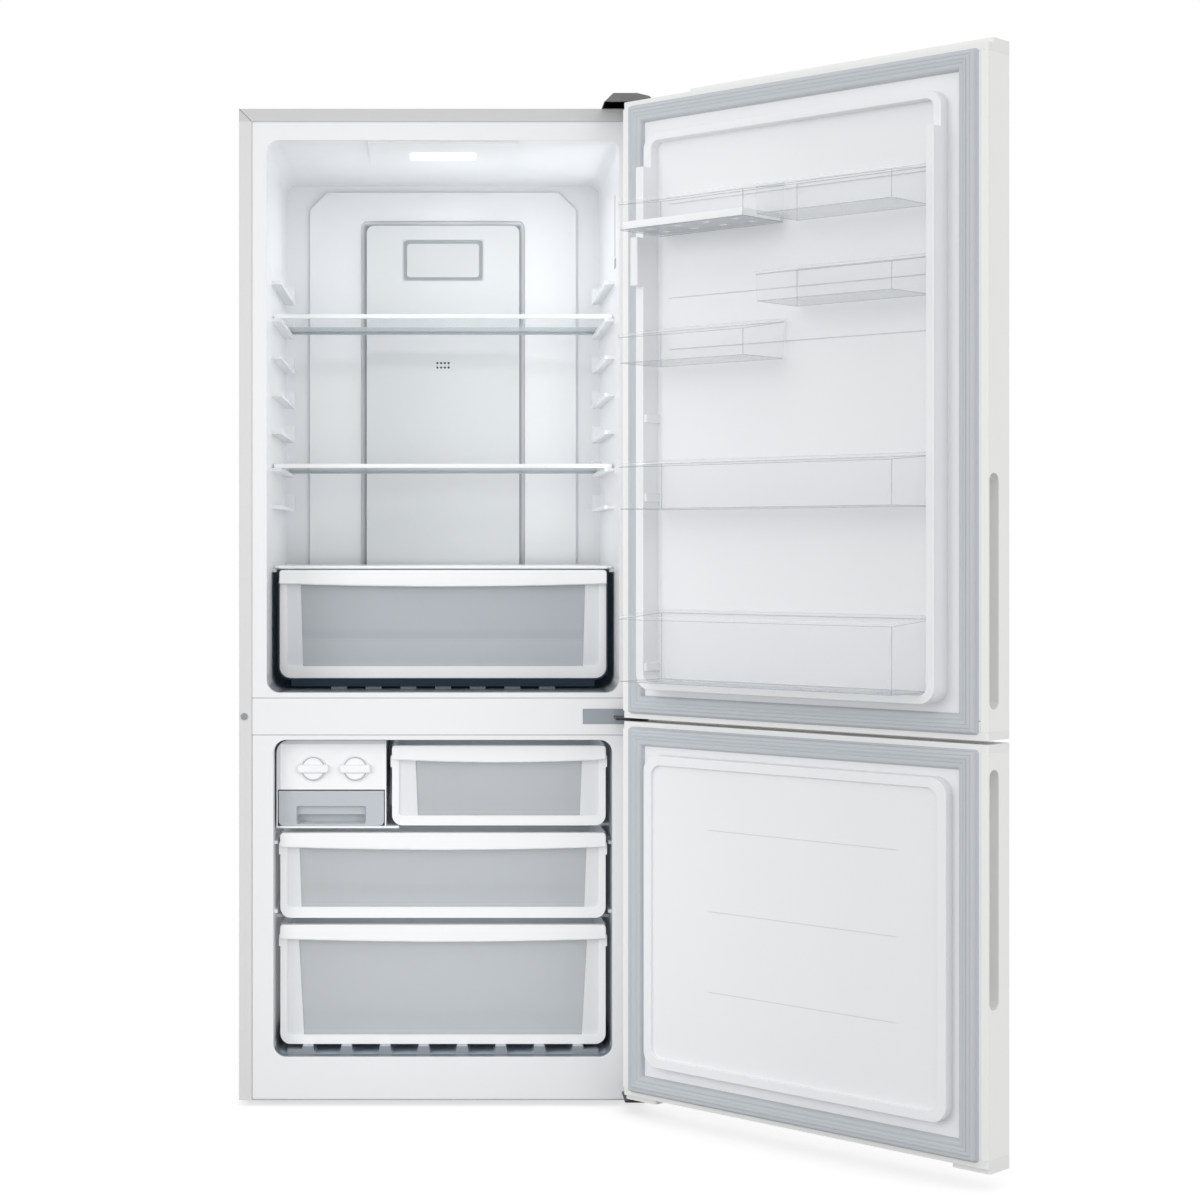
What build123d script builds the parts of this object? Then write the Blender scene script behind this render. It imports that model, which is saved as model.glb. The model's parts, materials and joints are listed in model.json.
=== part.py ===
from build123d import *
import math
import os

# Bottom freezer refrigerator with both doors swung open. Millimetres, +Z up.
# The origin is on the floor under the middle of the cabinet's front edge.
# X runs to the right, Y runs back into the cabinet.

# ---- overall sizes ----
cabinet_width = 699.0
cabinet_depth = 647.0
cabinet_top = 1708.0
cabinet_bottom = 10.0
steel = 1.0
plastic = 2.5
fit = 0.3

# ---- cabinet front ----
steel_flange = 22.0
liner_setback = 1.5
apron_top = 54.5

# ---- fridge compartment ----
fridge_width = 604.0
fridge_floor = 707.6
fridge_ceiling = 1654.7
fridge_depth = 520.0
cavity_radius = 22.0
mullion_top = 698.7
mullion_bottom = 635.3

# ---- freezer compartment ----
freezer_width = 580.8
freezer_floor = 83.7
freezer_ceiling = 626.7
freezer_depth = 505.0
hump_front = 326.0
hump_top = 303.0
machine_front = 372.0
machine_top = 255.0

# ---- shelf levels ----
shelf_front = 120.0
shelf_depth = 330.0
shelf_thick = 7.0
glass_thick = 4.0
lower_shelf_under = 1097.0
shelf_pitch = 66.0
levels_above = 5
levels_below = 1
upper_shelf_level = 4
ledge_reach = 17.0
ledge_thick = 6.0
shelf_side_gap = 4.0

# ---- crisper ----
crisper_cover_top = 924.0
crisper_cover_thick = 5.0
crisper_top = 917.0
crisper_front = 115.0
crisper_side_gap = 13.5
crisper_bottom = 726.0
crisper_depth = 350.0
crisper_surround_bottom = 711.9
surround_wall = 1.5
surround_gap = 0.7
cover_notch = 16.0
cover_overhang = 1.5

# ---- freezer drawers ----
drawer_front = 25.0
drawer_side_gap = 9.4
drawer_wall = 2.5
handle_height = 24.5
handle_reach = 12.0
frame_thick = 3.0
frame_side = 12.0
drawer_rear = 440.0
bottom_drawer_rear = 318.0
bottom_drawer_base = 98.5
bottom_drawer_top = 306.0
middle_drawer_base = 316.5
middle_drawer_top = 464.5
top_row_base = 476.3
top_row_top = 615.4
top_drawer_left = -88.0
rib_count = 8
rib_pitch = 66.5
rib_width = 18.0
rib_flare = 3.0
rib_shelf = 8.0

# ---- ice maker ----
ice_side_gap = 2.9
ice_right = -98.0
ice_bezel_bottom = 538.6
ice_top = 624.0
ice_axis_z = 575.0
ice_axis_left = -224.0
ice_axis_right = -151.5
ice_tray_length = 250.0
ice_tray_width = 52.0
ice_tray_height = 22.0
ice_knob_radius = 21.0
ice_spindle_radius = 6.0

# ---- doors ----
door_thick = 64.0
gasket_thick = 12.0
door_open_angle = 136.0
hinge_from_edge = 12.5
hinge_from_face = 35.3
pin_radius = 6.0
pin_clearance = 0.1
pin_length = 18.0
upper_door_bottom = 670.0
upper_door_top = 1706.0
lower_door_bottom = 35.0
lower_door_top = 664.0
cap_height = 12.0
cap_ridge = 8.0
cap_ridge_start = 130.0
cap_ridge_setback = 14.0
cap_foot = 8.0
cap_foot_length = 66.0
door_edge_radius = 5.0
gasket_inset = 16.0
gasket_width = 31.0
grip_width = 26.0
grip_depth = 28.0
grip_from_face = 4.0
upper_grip_bottom = 716.0
upper_grip_top = 1067.0
lower_grip_bottom = 269.0
lower_grip_top = 626.0

# ---- upper door lining ----
dike_height = 40.0
dike_low_height = 20.0
dike_step = 1586.0
dike_hinge_inset = 60.0
dike_handle_inset = 68.0
dike_hinge_width = 16.0
dike_handle_width = 14.0
dike_bottom = 722.0
dike_top = 1643.0
dike_rail = 13.0
dike_radius = 26.0
rail_reach = 4.0
rail_from_hinge = 100.0
plug_height = 20.0
plug_inset = 60.0
plug_rim = 16.0
plug_step = 6.0

# ---- door bins ----
bin_wall = 2.2
bin_hinge_side = 84.0
bin_handle_side = 610.0
bin_middle_hinge = 339.0
bin_middle_handle = 358.0
bin_reach = 118.0
half_bin_height = 47.0
half_bin_rise = 18.0
wide_bin_rise = 9.0

# ---- hinges, feet and rollers ----
bottom_hinge_width = 30.0
bottom_hinge_rear = 32.0
bottom_hinge_leg = 8.0
hinge_plate = 4.0
bottom_plate_gap = 3.0
hinge_plate_height = 25.5
hinge_leaf_thick = 2.5
hinge_leaf_left = 240.0
foot_radius = 17.0
foot_pad = 8.0
foot_stem_radius = 5.0
foot_stem_top = 40.0
foot_from_side = 60.0
foot_from_front = 65.0
roller_radius = 16.0
roller_width = 18.0
roller_from_side = 70.0
roller_from_back = 50.0
axle_radius = 4.0
axle_clearance = 0.05

# ---- derived places ----
half_width = cabinet_width / 2
door_inner_y = -gasket_thick
door_outer_y = door_inner_y - door_thick
hinge_x = half_width - hinge_from_edge
hinge_y = door_inner_y - hinge_from_face
hinge_axis = Axis((hinge_x, hinge_y, 0), (0, 0, 1))
liner_front = liner_setback
liner_back = liner_setback + plastic
upper_shelf_under = lower_shelf_under + upper_shelf_level * shelf_pitch
crisper_half_width = fridge_width / 2 - crisper_side_gap
drawer_half_width = freezer_width / 2 - drawer_side_gap
ice_left = -freezer_width / 2 + ice_side_gap
foam_base = cabinet_bottom + steel
foam_top = cabinet_top - steel
shelf_half_width = fridge_width / 2 - shelf_side_gap
arm_z = (upper_door_bottom + lower_door_top) / 2
bottom_plate_top = lower_door_bottom - cap_foot - bottom_plate_gap
bottom_plate_low = bottom_plate_top - hinge_plate

os.makedirs("parts", exist_ok=True)


def block(x0, x1, y0, y1, z0, z1):
    """A box between two opposite corners."""
    size = (x1 - x0, y1 - y0, z1 - z0)
    middle = ((x0 + x1) / 2, (y0 + y1) / 2, (z0 + z1) / 2)
    return Pos(*middle) * Box(*size)


def tunnel(x0, x1, z0, z1, y0, y1, radius):
    """A box whose four edges along Y are rounded."""
    outline = Plane.XZ * Pos((x0 + x1) / 2, (z0 + z1) / 2) * RectangleRounded(x1 - x0, z1 - z0, radius)
    return Pos(0, y0, 0) * extrude(outline, amount=y1 - y0, dir=(0, 1, 0))


def slab(x0, x1, y0, y1, z0, z1, radius):
    """A box whose four upright edges are rounded."""
    outline = Pos((x0 + x1) / 2, (y0 + y1) / 2) * RectangleRounded(x1 - x0, y1 - y0, radius)
    return Pos(0, 0, z0) * extrude(outline, amount=z1 - z0)


def upright(x, y, radius, z0, z1):
    """A round bar standing along Z."""
    return Pos(x, y, (z0 + z1) / 2) * Cylinder(radius, z1 - z0)


def along_y(x, z, radius, y0, y1):
    """A round bar lying along Y."""
    return Pos(x, (y0 + y1) / 2, z) * Rot(90, 0, 0) * Cylinder(radius, y1 - y0)


def along_x(x0, x1, y, z, radius):
    """A round bar lying along X."""
    return Pos((x0 + x1) / 2, y, z) * Rot(0, 90, 0) * Cylinder(radius, x1 - x0)


def save(shape, name):
    """Write one sub-part, with each of its pieces as its own solid."""
    pieces = list(shape.solids())
    result = pieces[0] if len(pieces) == 1 else Compound(children=pieces)
    result.label = name
    export_step(result, "parts/" + name + ".step")


def swing_open(shape):
    """Turn a piece of a closed door to where it stands open."""
    return shape.rotate(hinge_axis, door_open_angle)


def open_box(x0, x1, y0, y1, z0, z1, wall, radius):
    """A drawer body: rounded at its lower long edges and open at the top."""
    tall = z1 + radius + 1
    outside = tunnel(x0, x1, z0, tall, y0, y1, radius)
    inside = tunnel(x0 + wall, x1 - wall, z0 + wall, tall, y0 + wall, y1 - wall, radius - wall)
    above = block(x0 - 1, x1 + 1, y0 - 1, y1 + 1, z1, tall + 1)
    return outside - inside - above


# ---------------------------------------------------------------- cabinet
fridge_half = fridge_width / 2
freezer_half = freezer_width / 2
liner_outer_half = half_width - steel_flange
inner_half = half_width - steel


def fridge_cavity(grow=0.0, front=0.0):
    """The clear space of the fridge compartment, grown by a wall if asked."""
    return tunnel(
        -fridge_half - grow,
        fridge_half + grow,
        fridge_floor - grow,
        fridge_ceiling + grow,
        front,
        fridge_depth + grow,
        cavity_radius + grow,
    )


def freezer_cavity(grow=0.0, front=0.0):
    """The clear space of the freezer, stepped at the rear over the machine room."""
    whole = tunnel(
        -freezer_half - grow,
        freezer_half + grow,
        freezer_floor - grow,
        freezer_ceiling + grow,
        front,
        freezer_depth + grow,
        cavity_radius + grow,
    )
    hump = block(
        -half_width,
        half_width,
        hump_front + grow,
        cabinet_depth,
        0,
        hump_top - grow,
    )
    return whole - hump


def cabinet_shell():
    """The painted wrap: two sides and a top, with a narrow flange at the front."""
    outside = block(-half_width, half_width, 0, cabinet_depth, cabinet_bottom, cabinet_top)
    inside = block(-inner_half, inner_half, -1, cabinet_depth + 1, cabinet_bottom - 1, foam_top)
    flange = block(-half_width, half_width, 0, steel, cabinet_bottom, cabinet_top)
    window = block(
        -liner_outer_half, liner_outer_half, -1, steel + 1, cabinet_bottom - 1, cabinet_top - steel_flange
    )
    wrap = (outside - inside) + (flange - window)
    plug_seat = along_y(-half_width + plug_from_edge, hinge_centre_z, plug_radius, -1, steel + 1)
    return wrap - plug_seat


plug_from_edge = 9.0
plug_radius = 5.0
plug_head = 6.0
plug_dome = 1.2
hinge_centre_z = (mullion_top + mullion_bottom) / 2

save(cabinet_shell(), "cabinet_shell")

# a domed plug in the spare hinge hole on the left flange
plug = along_y(-half_width + plug_from_edge, hinge_centre_z, plug_radius, 0, liner_back + plastic)
plug = plug + along_y(-half_width + plug_from_edge, hinge_centre_z, plug_head, -plug_dome, 0)
save(plug, "hinge_hole_plug")

# floor sheet with an upright apron at the front and a stepped machine room at the rear
foot_places = [(side * (half_width - foot_from_side), foot_from_front) for side in (-1, 1)]
roller_places = [side * (half_width - roller_from_side) for side in (-1, 1)]
roller_y = cabinet_depth - roller_from_back
roller_room = 3.0
roller_slot = roller_radius + roller_room
ear_thick = 3.0
ear_gap = 1.0
ear_half = roller_width / 2 + ear_gap

base = block(-inner_half, inner_half, steel, cabinet_depth - steel, cabinet_bottom, foam_base)
apron = block(-liner_outer_half, liner_outer_half, liner_back, liner_back + steel, foam_base, apron_top)
hinge_slot = block(
    hinge_x - bottom_hinge_width - fit,
    liner_outer_half + 1,
    0,
    liner_back + steel + 1,
    bottom_plate_low - fit,
    bottom_plate_top + fit,
)
apron = apron - hinge_slot
step_wall = block(-inner_half, inner_half, machine_front, machine_front + steel, foam_base, machine_top)
step_roof = block(
    -inner_half, inner_half, machine_front, cabinet_depth - steel, machine_top, machine_top + steel
)
base = base + apron + step_wall + step_roof
for foot_x, foot_y in foot_places:
    base = base - upright(foot_x, foot_y, foot_stem_radius + fit, 0, foam_base + 1)
for roller_x in roller_places:
    base = base - block(
        roller_x - ear_half,
        roller_x + ear_half,
        roller_y - roller_slot,
        roller_y + roller_slot,
        0,
        foam_base + 1,
    )
    for side in (-1, 1):
        near = roller_x + side * ear_half
        far = near + side * ear_thick
        ear = block(
            min(near, far),
            max(near, far),
            roller_y - roller_radius,
            roller_y + roller_radius,
            foam_base,
            roller_radius * 2,
        )
        base = base + ear
    reach = ear_half + ear_thick + 1
    base = base - along_x(
        roller_x - reach, roller_x + reach, roller_y, roller_radius, axle_radius + axle_clearance
    )
save(base, "base_plate")

# rigid foam between the shell and the two linings
foot_pocket = 7.0
foot_headroom = 2.0
foam = block(-inner_half, inner_half, liner_back, cabinet_depth - steel, foam_base, foam_top)
foam = foam - fridge_cavity(plastic) - freezer_cavity(plastic)
foam = foam - block(-half_width, half_width, 0, liner_back + steel, 0, apron_top)
foam = foam - block(
    -half_width, half_width, machine_front, cabinet_depth, 0, machine_top + steel
)
for foot_x, foot_y in foot_places:
    foam = foam - upright(foot_x, foot_y, foot_pocket, 0, foot_stem_top + foot_headroom)
plug_pocket = along_y(
    -half_width + plug_from_edge, hinge_centre_z, plug_radius + fit, 0, liner_back + 2 * plastic
)
leaf_bottom = arm_z - hinge_plate_height / 2
leaf_top = arm_z + hinge_plate_height / 2
foam = foam - plug_pocket
foam = foam - block(
    hinge_x - bottom_hinge_width - 1,
    liner_outer_half,
    0,
    bottom_hinge_rear + 1,
    0,
    bottom_plate_top + fit,
)
save(foam, "cabinet_foam")

# back sheet, and a slotted cover over the machine room below it
back_sheet = block(
    -inner_half,
    inner_half,
    cabinet_depth - steel,
    cabinet_depth,
    machine_top + steel,
    foam_top,
)
grille_slot_count = 14
grille_slot_pitch = 40.0
grille_slot_width = 8.0
grille_slot_margin = 40.0
grille = block(
    -inner_half, inner_half, cabinet_depth - steel, cabinet_depth, foam_base, machine_top
)
for index in range(grille_slot_count):
    slot_x = (index - (grille_slot_count - 1) / 2) * grille_slot_pitch
    grille = grille - block(
        slot_x - grille_slot_width / 2,
        slot_x + grille_slot_width / 2,
        cabinet_depth - 2 * steel,
        cabinet_depth + 1,
        foam_base + grille_slot_margin,
        machine_top - grille_slot_margin,
    )
save(Compound(children=[back_sheet, grille]), "rear_panels")

# ---------------------------------------------------------------- linings
cover_ledge_reach = 8.0
duct_half = 147.0
duct_top = 1576.0
duct_groove = 11.0
duct_radius = 14.0
lamp_panel_half = 130.0
lamp_panel_front = 12.0
lamp_panel_rear = 216.0
lamp_panel_drop = 3.0
ledge_past_shelf = 20.0
ledge_rear = shelf_front + shelf_depth + ledge_past_shelf
cover_ledge_setback = 20.0
floor_ridge_lead = 6.0
floor_gap = 0.1
ledge_hook = 14.0
ledge_hook_height = 26.0
crisper_cover_under = crisper_cover_top - crisper_cover_thick
back_pad_half = 257.0
back_pad_top = 1642.0
back_pad_thick = 7.0
back_pad_chamfer = 34.0
floor_ridge_count = 7
floor_ridge_pitch = 61.0
floor_ridge_width = 28.0
floor_ridge_rear = 440.0


def side_ledges(half, reach, y0, y1, top):
    """A pair of moulded ledges on the side walls, just under the given height."""
    left = block(-half, -half + reach, y0, y1, top - ledge_thick, top)
    right = block(half - reach, half, y0, y1, top - ledge_thick, top)
    return left + right


flange_plate = block(
    -liner_outer_half,
    liner_outer_half,
    liner_front,
    liner_back,
    mullion_top,
    cabinet_top - steel_flange,
)
fridge_liner = flange_plate + fridge_cavity(plastic, liner_front)
fridge_liner = fridge_liner - fridge_cavity(0, -1)
for level in range(-levels_below, levels_above + 1):
    ledge_top = lower_shelf_under + level * shelf_pitch
    fridge_liner = fridge_liner + side_ledges(fridge_half, ledge_reach, shelf_front, ledge_rear, ledge_top)
    for side in (-1, 1):
        wall_x = side * fridge_half
        tip_x = side * (fridge_half - ledge_reach)
        fridge_liner = fridge_liner + block(
            min(wall_x, tip_x),
            max(wall_x, tip_x),
            ledge_rear,
            ledge_rear + ledge_hook,
            ledge_top - ledge_thick,
            ledge_top + ledge_hook_height,
        )
fridge_liner = fridge_liner + side_ledges(
    fridge_half, cover_ledge_reach, crisper_front + cover_ledge_setback, ledge_rear, crisper_cover_under
)
for index in range(floor_ridge_count):
    ridge_x = (index - (floor_ridge_count - 1) / 2) * floor_ridge_pitch
    fridge_liner = fridge_liner + block(
        ridge_x - floor_ridge_width / 2,
        ridge_x + floor_ridge_width / 2,
        crisper_front - floor_ridge_lead,
        floor_ridge_rear,
        fridge_floor,
        crisper_surround_bottom - floor_gap,
    )
back_pad = block(
    -back_pad_half,
    back_pad_half,
    fridge_depth - back_pad_thick,
    fridge_depth,
    fridge_floor,
    back_pad_top,
)
pad_corners = back_pad.edges().filter_by(Axis.Y).sort_by(Axis.Z)[-2:]
back_pad = chamfer(pad_corners, back_pad_chamfer)
duct_recess = tunnel(
    -duct_half - duct_groove,
    duct_half + duct_groove,
    fridge_floor - 1,
    duct_top + duct_groove,
    fridge_depth - back_pad_thick - 1,
    fridge_depth + 1,
    duct_radius,
)
duct_recess = duct_recess & block(
    -back_pad_half, back_pad_half, 0, fridge_depth, fridge_floor, back_pad_top
)
fridge_liner = fridge_liner + (back_pad - duct_recess)
lamp_panel = block(
    -lamp_panel_half,
    lamp_panel_half,
    lamp_panel_front,
    lamp_panel_rear,
    fridge_ceiling - lamp_panel_drop,
    fridge_ceiling,
)
fridge_liner = fridge_liner + lamp_panel
save(fridge_liner, "fridge_liner")

freezer_flange = block(
    -liner_outer_half, liner_outer_half, liner_front, liner_back, foam_base, mullion_bottom
)
freezer_liner = freezer_flange - hinge_slot + freezer_cavity(plastic, liner_front)
freezer_liner = freezer_liner - freezer_cavity(0, -1)
drawer_rest = 14.0
drawer_ledge = drawer_side_gap + drawer_rest
wall_marks = (331.0, 450.0)
wall_mark_reach = 5.0
wall_mark_setback = 10.0
ledge_setback = 60.0
freezer_liner = freezer_liner + side_ledges(
    freezer_half, drawer_ledge, drawer_front + ledge_setback, drawer_rear, middle_drawer_base - fit
)
right_ledge = block(
    freezer_half - drawer_ledge,
    freezer_half,
    drawer_front + ledge_setback,
    drawer_rear,
    top_row_base - fit - ledge_thick,
    top_row_base - fit,
)
freezer_liner = freezer_liner + right_ledge
for index in range(rib_count):
    rib_x = (index - (rib_count - 1) / 2) * rib_pitch
    section = Polygon(
        (rib_x - rib_width / 2 - rib_flare, freezer_floor),
        (rib_x + rib_width / 2 + rib_flare, freezer_floor),
        (rib_x + rib_width / 2, bottom_drawer_base - fit),
        (rib_x - rib_width / 2, bottom_drawer_base - fit),
        align=None,
    )
    rib = extrude(Plane.XZ * section, amount=hump_front - drawer_front, dir=(0, 1, 0))
    freezer_liner = freezer_liner + Pos(0, drawer_front, 0) * rib
outer_rib = (rib_count - 1) / 2 * rib_pitch
for side in (-1, 1):
    freezer_liner = freezer_liner + block(
        min(side * outer_rib, side * (freezer_half - cavity_radius)),
        max(side * outer_rib, side * (freezer_half - cavity_radius)),
        drawer_front,
        hump_front,
        freezer_floor,
        freezer_floor + rib_shelf,
    )
for mark_top in wall_marks:
    freezer_liner = freezer_liner + side_ledges(
        freezer_half, wall_mark_reach, drawer_front + wall_mark_setback, drawer_rear, mark_top
    )
save(freezer_liner, "freezer_liner")

# white bar across the front between the two compartments, cut out for the hinge leaf
mullion = block(
    -liner_outer_half, liner_outer_half, liner_front, liner_back, mullion_bottom, mullion_top
)
mullion = mullion - block(
    hinge_leaf_left - fit,
    liner_outer_half + 1,
    liner_front - 1,
    liner_front + hinge_leaf_thick,
    leaf_bottom - fit,
    leaf_top + fit,
)
save(mullion, "mullion_cover")

# ---------------------------------------------------------------- air duct and lamp
duct_thick = 22.0
badge_half = 76.0
badge_bottom = 1470.0
badge_height = 78.0
badge_radius = 10.0
badge_wall = 6.0
badge_depth = 5.0
badge_setback = 1.0
air_slot_columns = 4
air_slot_rows = 2
air_slot_pitch_x = 7.2
air_slot_pitch_z = 8.6
air_slot_size = 3.6
air_slot_z = 1303.0
duct_front = fridge_depth - duct_thick
duct_lift = 60.0
duct_base = fridge_floor + duct_lift

duct = tunnel(-duct_half, duct_half, duct_base, duct_top, duct_front, fridge_depth, duct_radius)
hollow = tunnel(
    -duct_half + plastic,
    duct_half - plastic,
    duct_base + plastic,
    duct_top - plastic,
    duct_front + plastic,
    fridge_depth + 1,
    duct_radius - plastic,
)
duct = duct - hollow
badge_top = badge_bottom + badge_height
badge_recess = tunnel(
    -badge_half, badge_half, badge_bottom, badge_top, duct_front - 1, duct_front + badge_depth, badge_radius
)
badge_pan = tunnel(
    -badge_half - plastic,
    badge_half + plastic,
    badge_bottom - plastic,
    badge_top + plastic,
    duct_front,
    duct_front + badge_depth + plastic,
    badge_radius + plastic,
)
duct = duct + badge_pan - badge_recess
for column in range(air_slot_columns):
    for row in range(air_slot_rows):
        slot_x = (column - (air_slot_columns - 1) / 2) * air_slot_pitch_x
        slot_z = air_slot_z + row * air_slot_pitch_z
        duct = duct - block(
            slot_x - air_slot_size / 2,
            slot_x + air_slot_size / 2,
            duct_front - 1,
            duct_front + plastic + 1,
            slot_z - air_slot_size / 2,
            slot_z + air_slot_size / 2,
        )
save(duct, "air_duct_cover")

badge = tunnel(
    -badge_half + badge_wall,
    badge_half - badge_wall,
    badge_bottom + badge_wall,
    badge_top - badge_wall,
    duct_front + badge_setback,
    duct_front + badge_depth,
    badge_radius - badge_wall / 2,
)
save(badge, "filter_cover")

lamp_half = 58.0
lamp_front = 120.0
lamp_rear = 185.0
lamp_drop = 2.0
lamp_roof = fridge_ceiling - lamp_panel_drop
lamp_corner = 8.0
lamp_round = 1.2
lamp = slab(
    -lamp_half, lamp_half, lamp_front, lamp_rear, lamp_roof - lamp_drop, lamp_roof, lamp_corner
)
lower_edges = lamp.faces().sort_by(Axis.Z)[0].edges()
lamp = fillet(lower_edges, lamp_round)
save(lamp, "lamp_lens")

# ---------------------------------------------------------------- shelves
trim_depth = 12.0
rear_trim_depth = 10.0
rear_lip = 8.0
side_trim = 9.0
glass_inset = 3.0
lip_thick = 3.0


def shelf_frame(under, depth, rear_height):
    """The moulded rim of a glass shelf, grooved to hold the pane."""
    rear = shelf_front + depth
    top = under + shelf_thick
    rim = block(-shelf_half_width, shelf_half_width, shelf_front, rear, under, top)
    opening = block(
        -shelf_half_width + side_trim,
        shelf_half_width - side_trim,
        shelf_front + trim_depth,
        rear - rear_trim_depth,
        under - 1,
        top + 1,
    )
    lip = block(-shelf_half_width, shelf_half_width, rear - lip_thick, rear, top, top + rear_height)
    return rim - opening - shelf_glass(under, depth) + lip


def shelf_glass(under, depth):
    """The pane, let into the rim on all four sides."""
    rear = shelf_front + depth
    reach = side_trim - glass_inset
    bottom = under + (shelf_thick - glass_thick) / 2
    return block(
        -shelf_half_width + reach,
        shelf_half_width - reach,
        shelf_front + trim_depth - glass_inset,
        rear - rear_trim_depth + glass_inset,
        bottom,
        bottom + glass_thick,
    )


save(shelf_frame(upper_shelf_under, shelf_depth, rear_lip), "upper_shelf_frame")
save(shelf_frame(lower_shelf_under, shelf_depth, rear_lip), "lower_shelf_frame")
panes = [shelf_glass(under, shelf_depth) for under in (upper_shelf_under, lower_shelf_under)]
save(Compound(children=panes), "shelf_glass")

# flat cover over the crisper, with a lip along its front edge
cover_rear_gap = 6.0
cover_half = fridge_half - shelf_side_gap
cover = block(
    -cover_half,
    cover_half,
    crisper_front,
    duct_front - cover_rear_gap,
    crisper_cover_under,
    crisper_cover_top,
)
for side in (-1, 1):
    near_x = side * (crisper_half_width + cover_overhang)
    far_x = side * (cover_half + 1)
    cover = cover - block(
        min(near_x, far_x),
        max(near_x, far_x),
        crisper_front - 1,
        crisper_front + cover_notch,
        crisper_cover_under - 1,
        crisper_cover_top + 1,
    )
save(cover, "crisper_cover")

# dark open-fronted channel that the crisper slides in
surround_half = crisper_half_width + surround_gap + surround_wall
surround_setback = 3.0
surround_rear_room = 4.0
surround_headroom = 1.0
surround_front = crisper_front + surround_setback
surround_rear = crisper_front + crisper_depth + surround_rear_room
surround_radius = 22.0
surround_top = crisper_cover_under - ledge_thick - surround_headroom
surround_low = crisper_bottom - surround_gap - surround_wall
surround = open_box(
    -surround_half,
    surround_half,
    surround_front - surround_wall,
    surround_rear,
    surround_low,
    surround_top,
    surround_wall,
    surround_radius,
)
surround = surround - block(
    -surround_half - 1,
    surround_half + 1,
    surround_front - 2 * surround_wall,
    surround_front,
    0,
    cabinet_top,
)
skid_half = surround_half - surround_radius - surround_wall
skid = block(
    -skid_half,
    skid_half,
    surround_front,
    surround_front + 4 * surround_wall,
    crisper_surround_bottom,
    surround_low + surround_wall / 2,
)
rear_skid = block(
    -skid_half,
    skid_half,
    surround_rear - 4 * surround_wall,
    surround_rear,
    crisper_surround_bottom,
    surround_low + surround_wall / 2,
)
save(surround + skid + rear_skid, "crisper_surround")

# ---------------------------------------------------------------- drawers
handle_bow = 5.0
handle_edge = 2.0
handle_corner = 6.0
ear_reach = 2.5
ear_drop = 14.0
ear_rise = 6.0
drawer_radius = 18.0
crisper_radius = 20.0


def drawer_front_frame(x0, x1, y_front, z0, z1, side_band, low_band, radius):
    """The white moulding on a drawer's front: a handle band on top of a window frame."""
    face = tunnel(x0, x1, z0, z1 + 2 * radius, y_front, y_front + frame_thick, radius)
    above = block(
        x0 - 1, x1 + 1, y_front - 1, y_front + frame_thick + 1, z1 - handle_height, z1 + 3 * radius
    )
    window = tunnel(
        x0 + side_band,
        x1 - side_band,
        z0 + low_band,
        z1 + radius,
        y_front - 1,
        y_front + frame_thick + 1,
        radius / 3,
    )
    middle = (x0 + x1) / 2
    low = z1 - handle_height
    with BuildSketch(Plane.XZ.offset(handle_reach - y_front)) as outline:
        with BuildLine():
            Polyline((x0, low), (x0, z1), (x1, z1), (x1, low))
            ThreePointArc((x1, low), (middle, low - handle_bow), (x0, low))
        make_face()
    bar = extrude(outline.sketch, amount=handle_reach + frame_thick, dir=(0, 1, 0))
    top_corners = bar.edges().filter_by(Axis.Y).group_by(Axis.Z)[-1]
    bar = fillet(top_corners, handle_corner)
    front_edges = bar.faces().sort_by(Axis.Y)[0].edges()
    bar = fillet(front_edges, handle_edge)
    return (face - above - window) + bar


def guide_ears(x0, x1, y_front, z1):
    """Small guides that stand out at both ends of a freezer drawer's handle."""
    low = z1 - handle_height
    ears = []
    for edge_x in (x0, x1):
        ear = block(
            edge_x - ear_reach,
            edge_x + ear_reach,
            y_front,
            y_front + frame_thick,
            low - ear_drop,
            low + ear_rise,
        )
        ears.append(ear)
    return ears[0] + ears[1]


drawers = {
    "crisper": (
        -crisper_half_width,
        crisper_half_width,
        crisper_front,
        crisper_front + crisper_depth,
        crisper_bottom,
        crisper_top,
        13.0,
        21.0,
        crisper_radius,
    ),
    "bottom_freezer_drawer": (
        -drawer_half_width,
        drawer_half_width,
        drawer_front,
        bottom_drawer_rear,
        bottom_drawer_base,
        bottom_drawer_top,
        frame_side,
        16.0,
        drawer_radius,
    ),
    "middle_freezer_drawer": (
        -drawer_half_width,
        drawer_half_width,
        drawer_front,
        drawer_rear,
        middle_drawer_base,
        middle_drawer_top,
        frame_side,
        19.0,
        drawer_radius,
    ),
    "top_freezer_drawer": (
        top_drawer_left,
        drawer_half_width,
        drawer_front,
        drawer_rear,
        top_row_base,
        top_row_top,
        frame_side,
        17.0,
        drawer_radius,
    ),
}
for name, (x0, x1, front, rear, z0, z1, side_band, low_band, radius) in drawers.items():
    body_front = front + handle_reach
    box = open_box(x0, x1, body_front + frame_thick, rear, z0, z1, drawer_wall, radius)
    save(box, name)
    front_frame = drawer_front_frame(x0, x1, body_front, z0, z1, side_band, low_band, radius)
    if name != "crisper":
        front_frame = front_frame + guide_ears(x0, x1, body_front, z1)
    save(front_frame, name + "_front")

# ---------------------------------------------------------------- ice maker
ice_setback = 6.0
ice_wall = 2.5
ice_works_length = 60.0
ice_shelf_reach = 12.0
ice_tray_lead = 6.0
ice_front = drawer_front + ice_setback
ice_rear = ice_front + ice_tray_length + ice_works_length
ice_shelf_right = top_drawer_left + ice_shelf_reach
ice_shelf_thick = 4.0
spindle_clearance = 0.3
tray_front = ice_front + ice_wall + ice_tray_lead
tray_rear = tray_front + ice_tray_length
cube_rows = 7
cube_wall = 2.0

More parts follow.
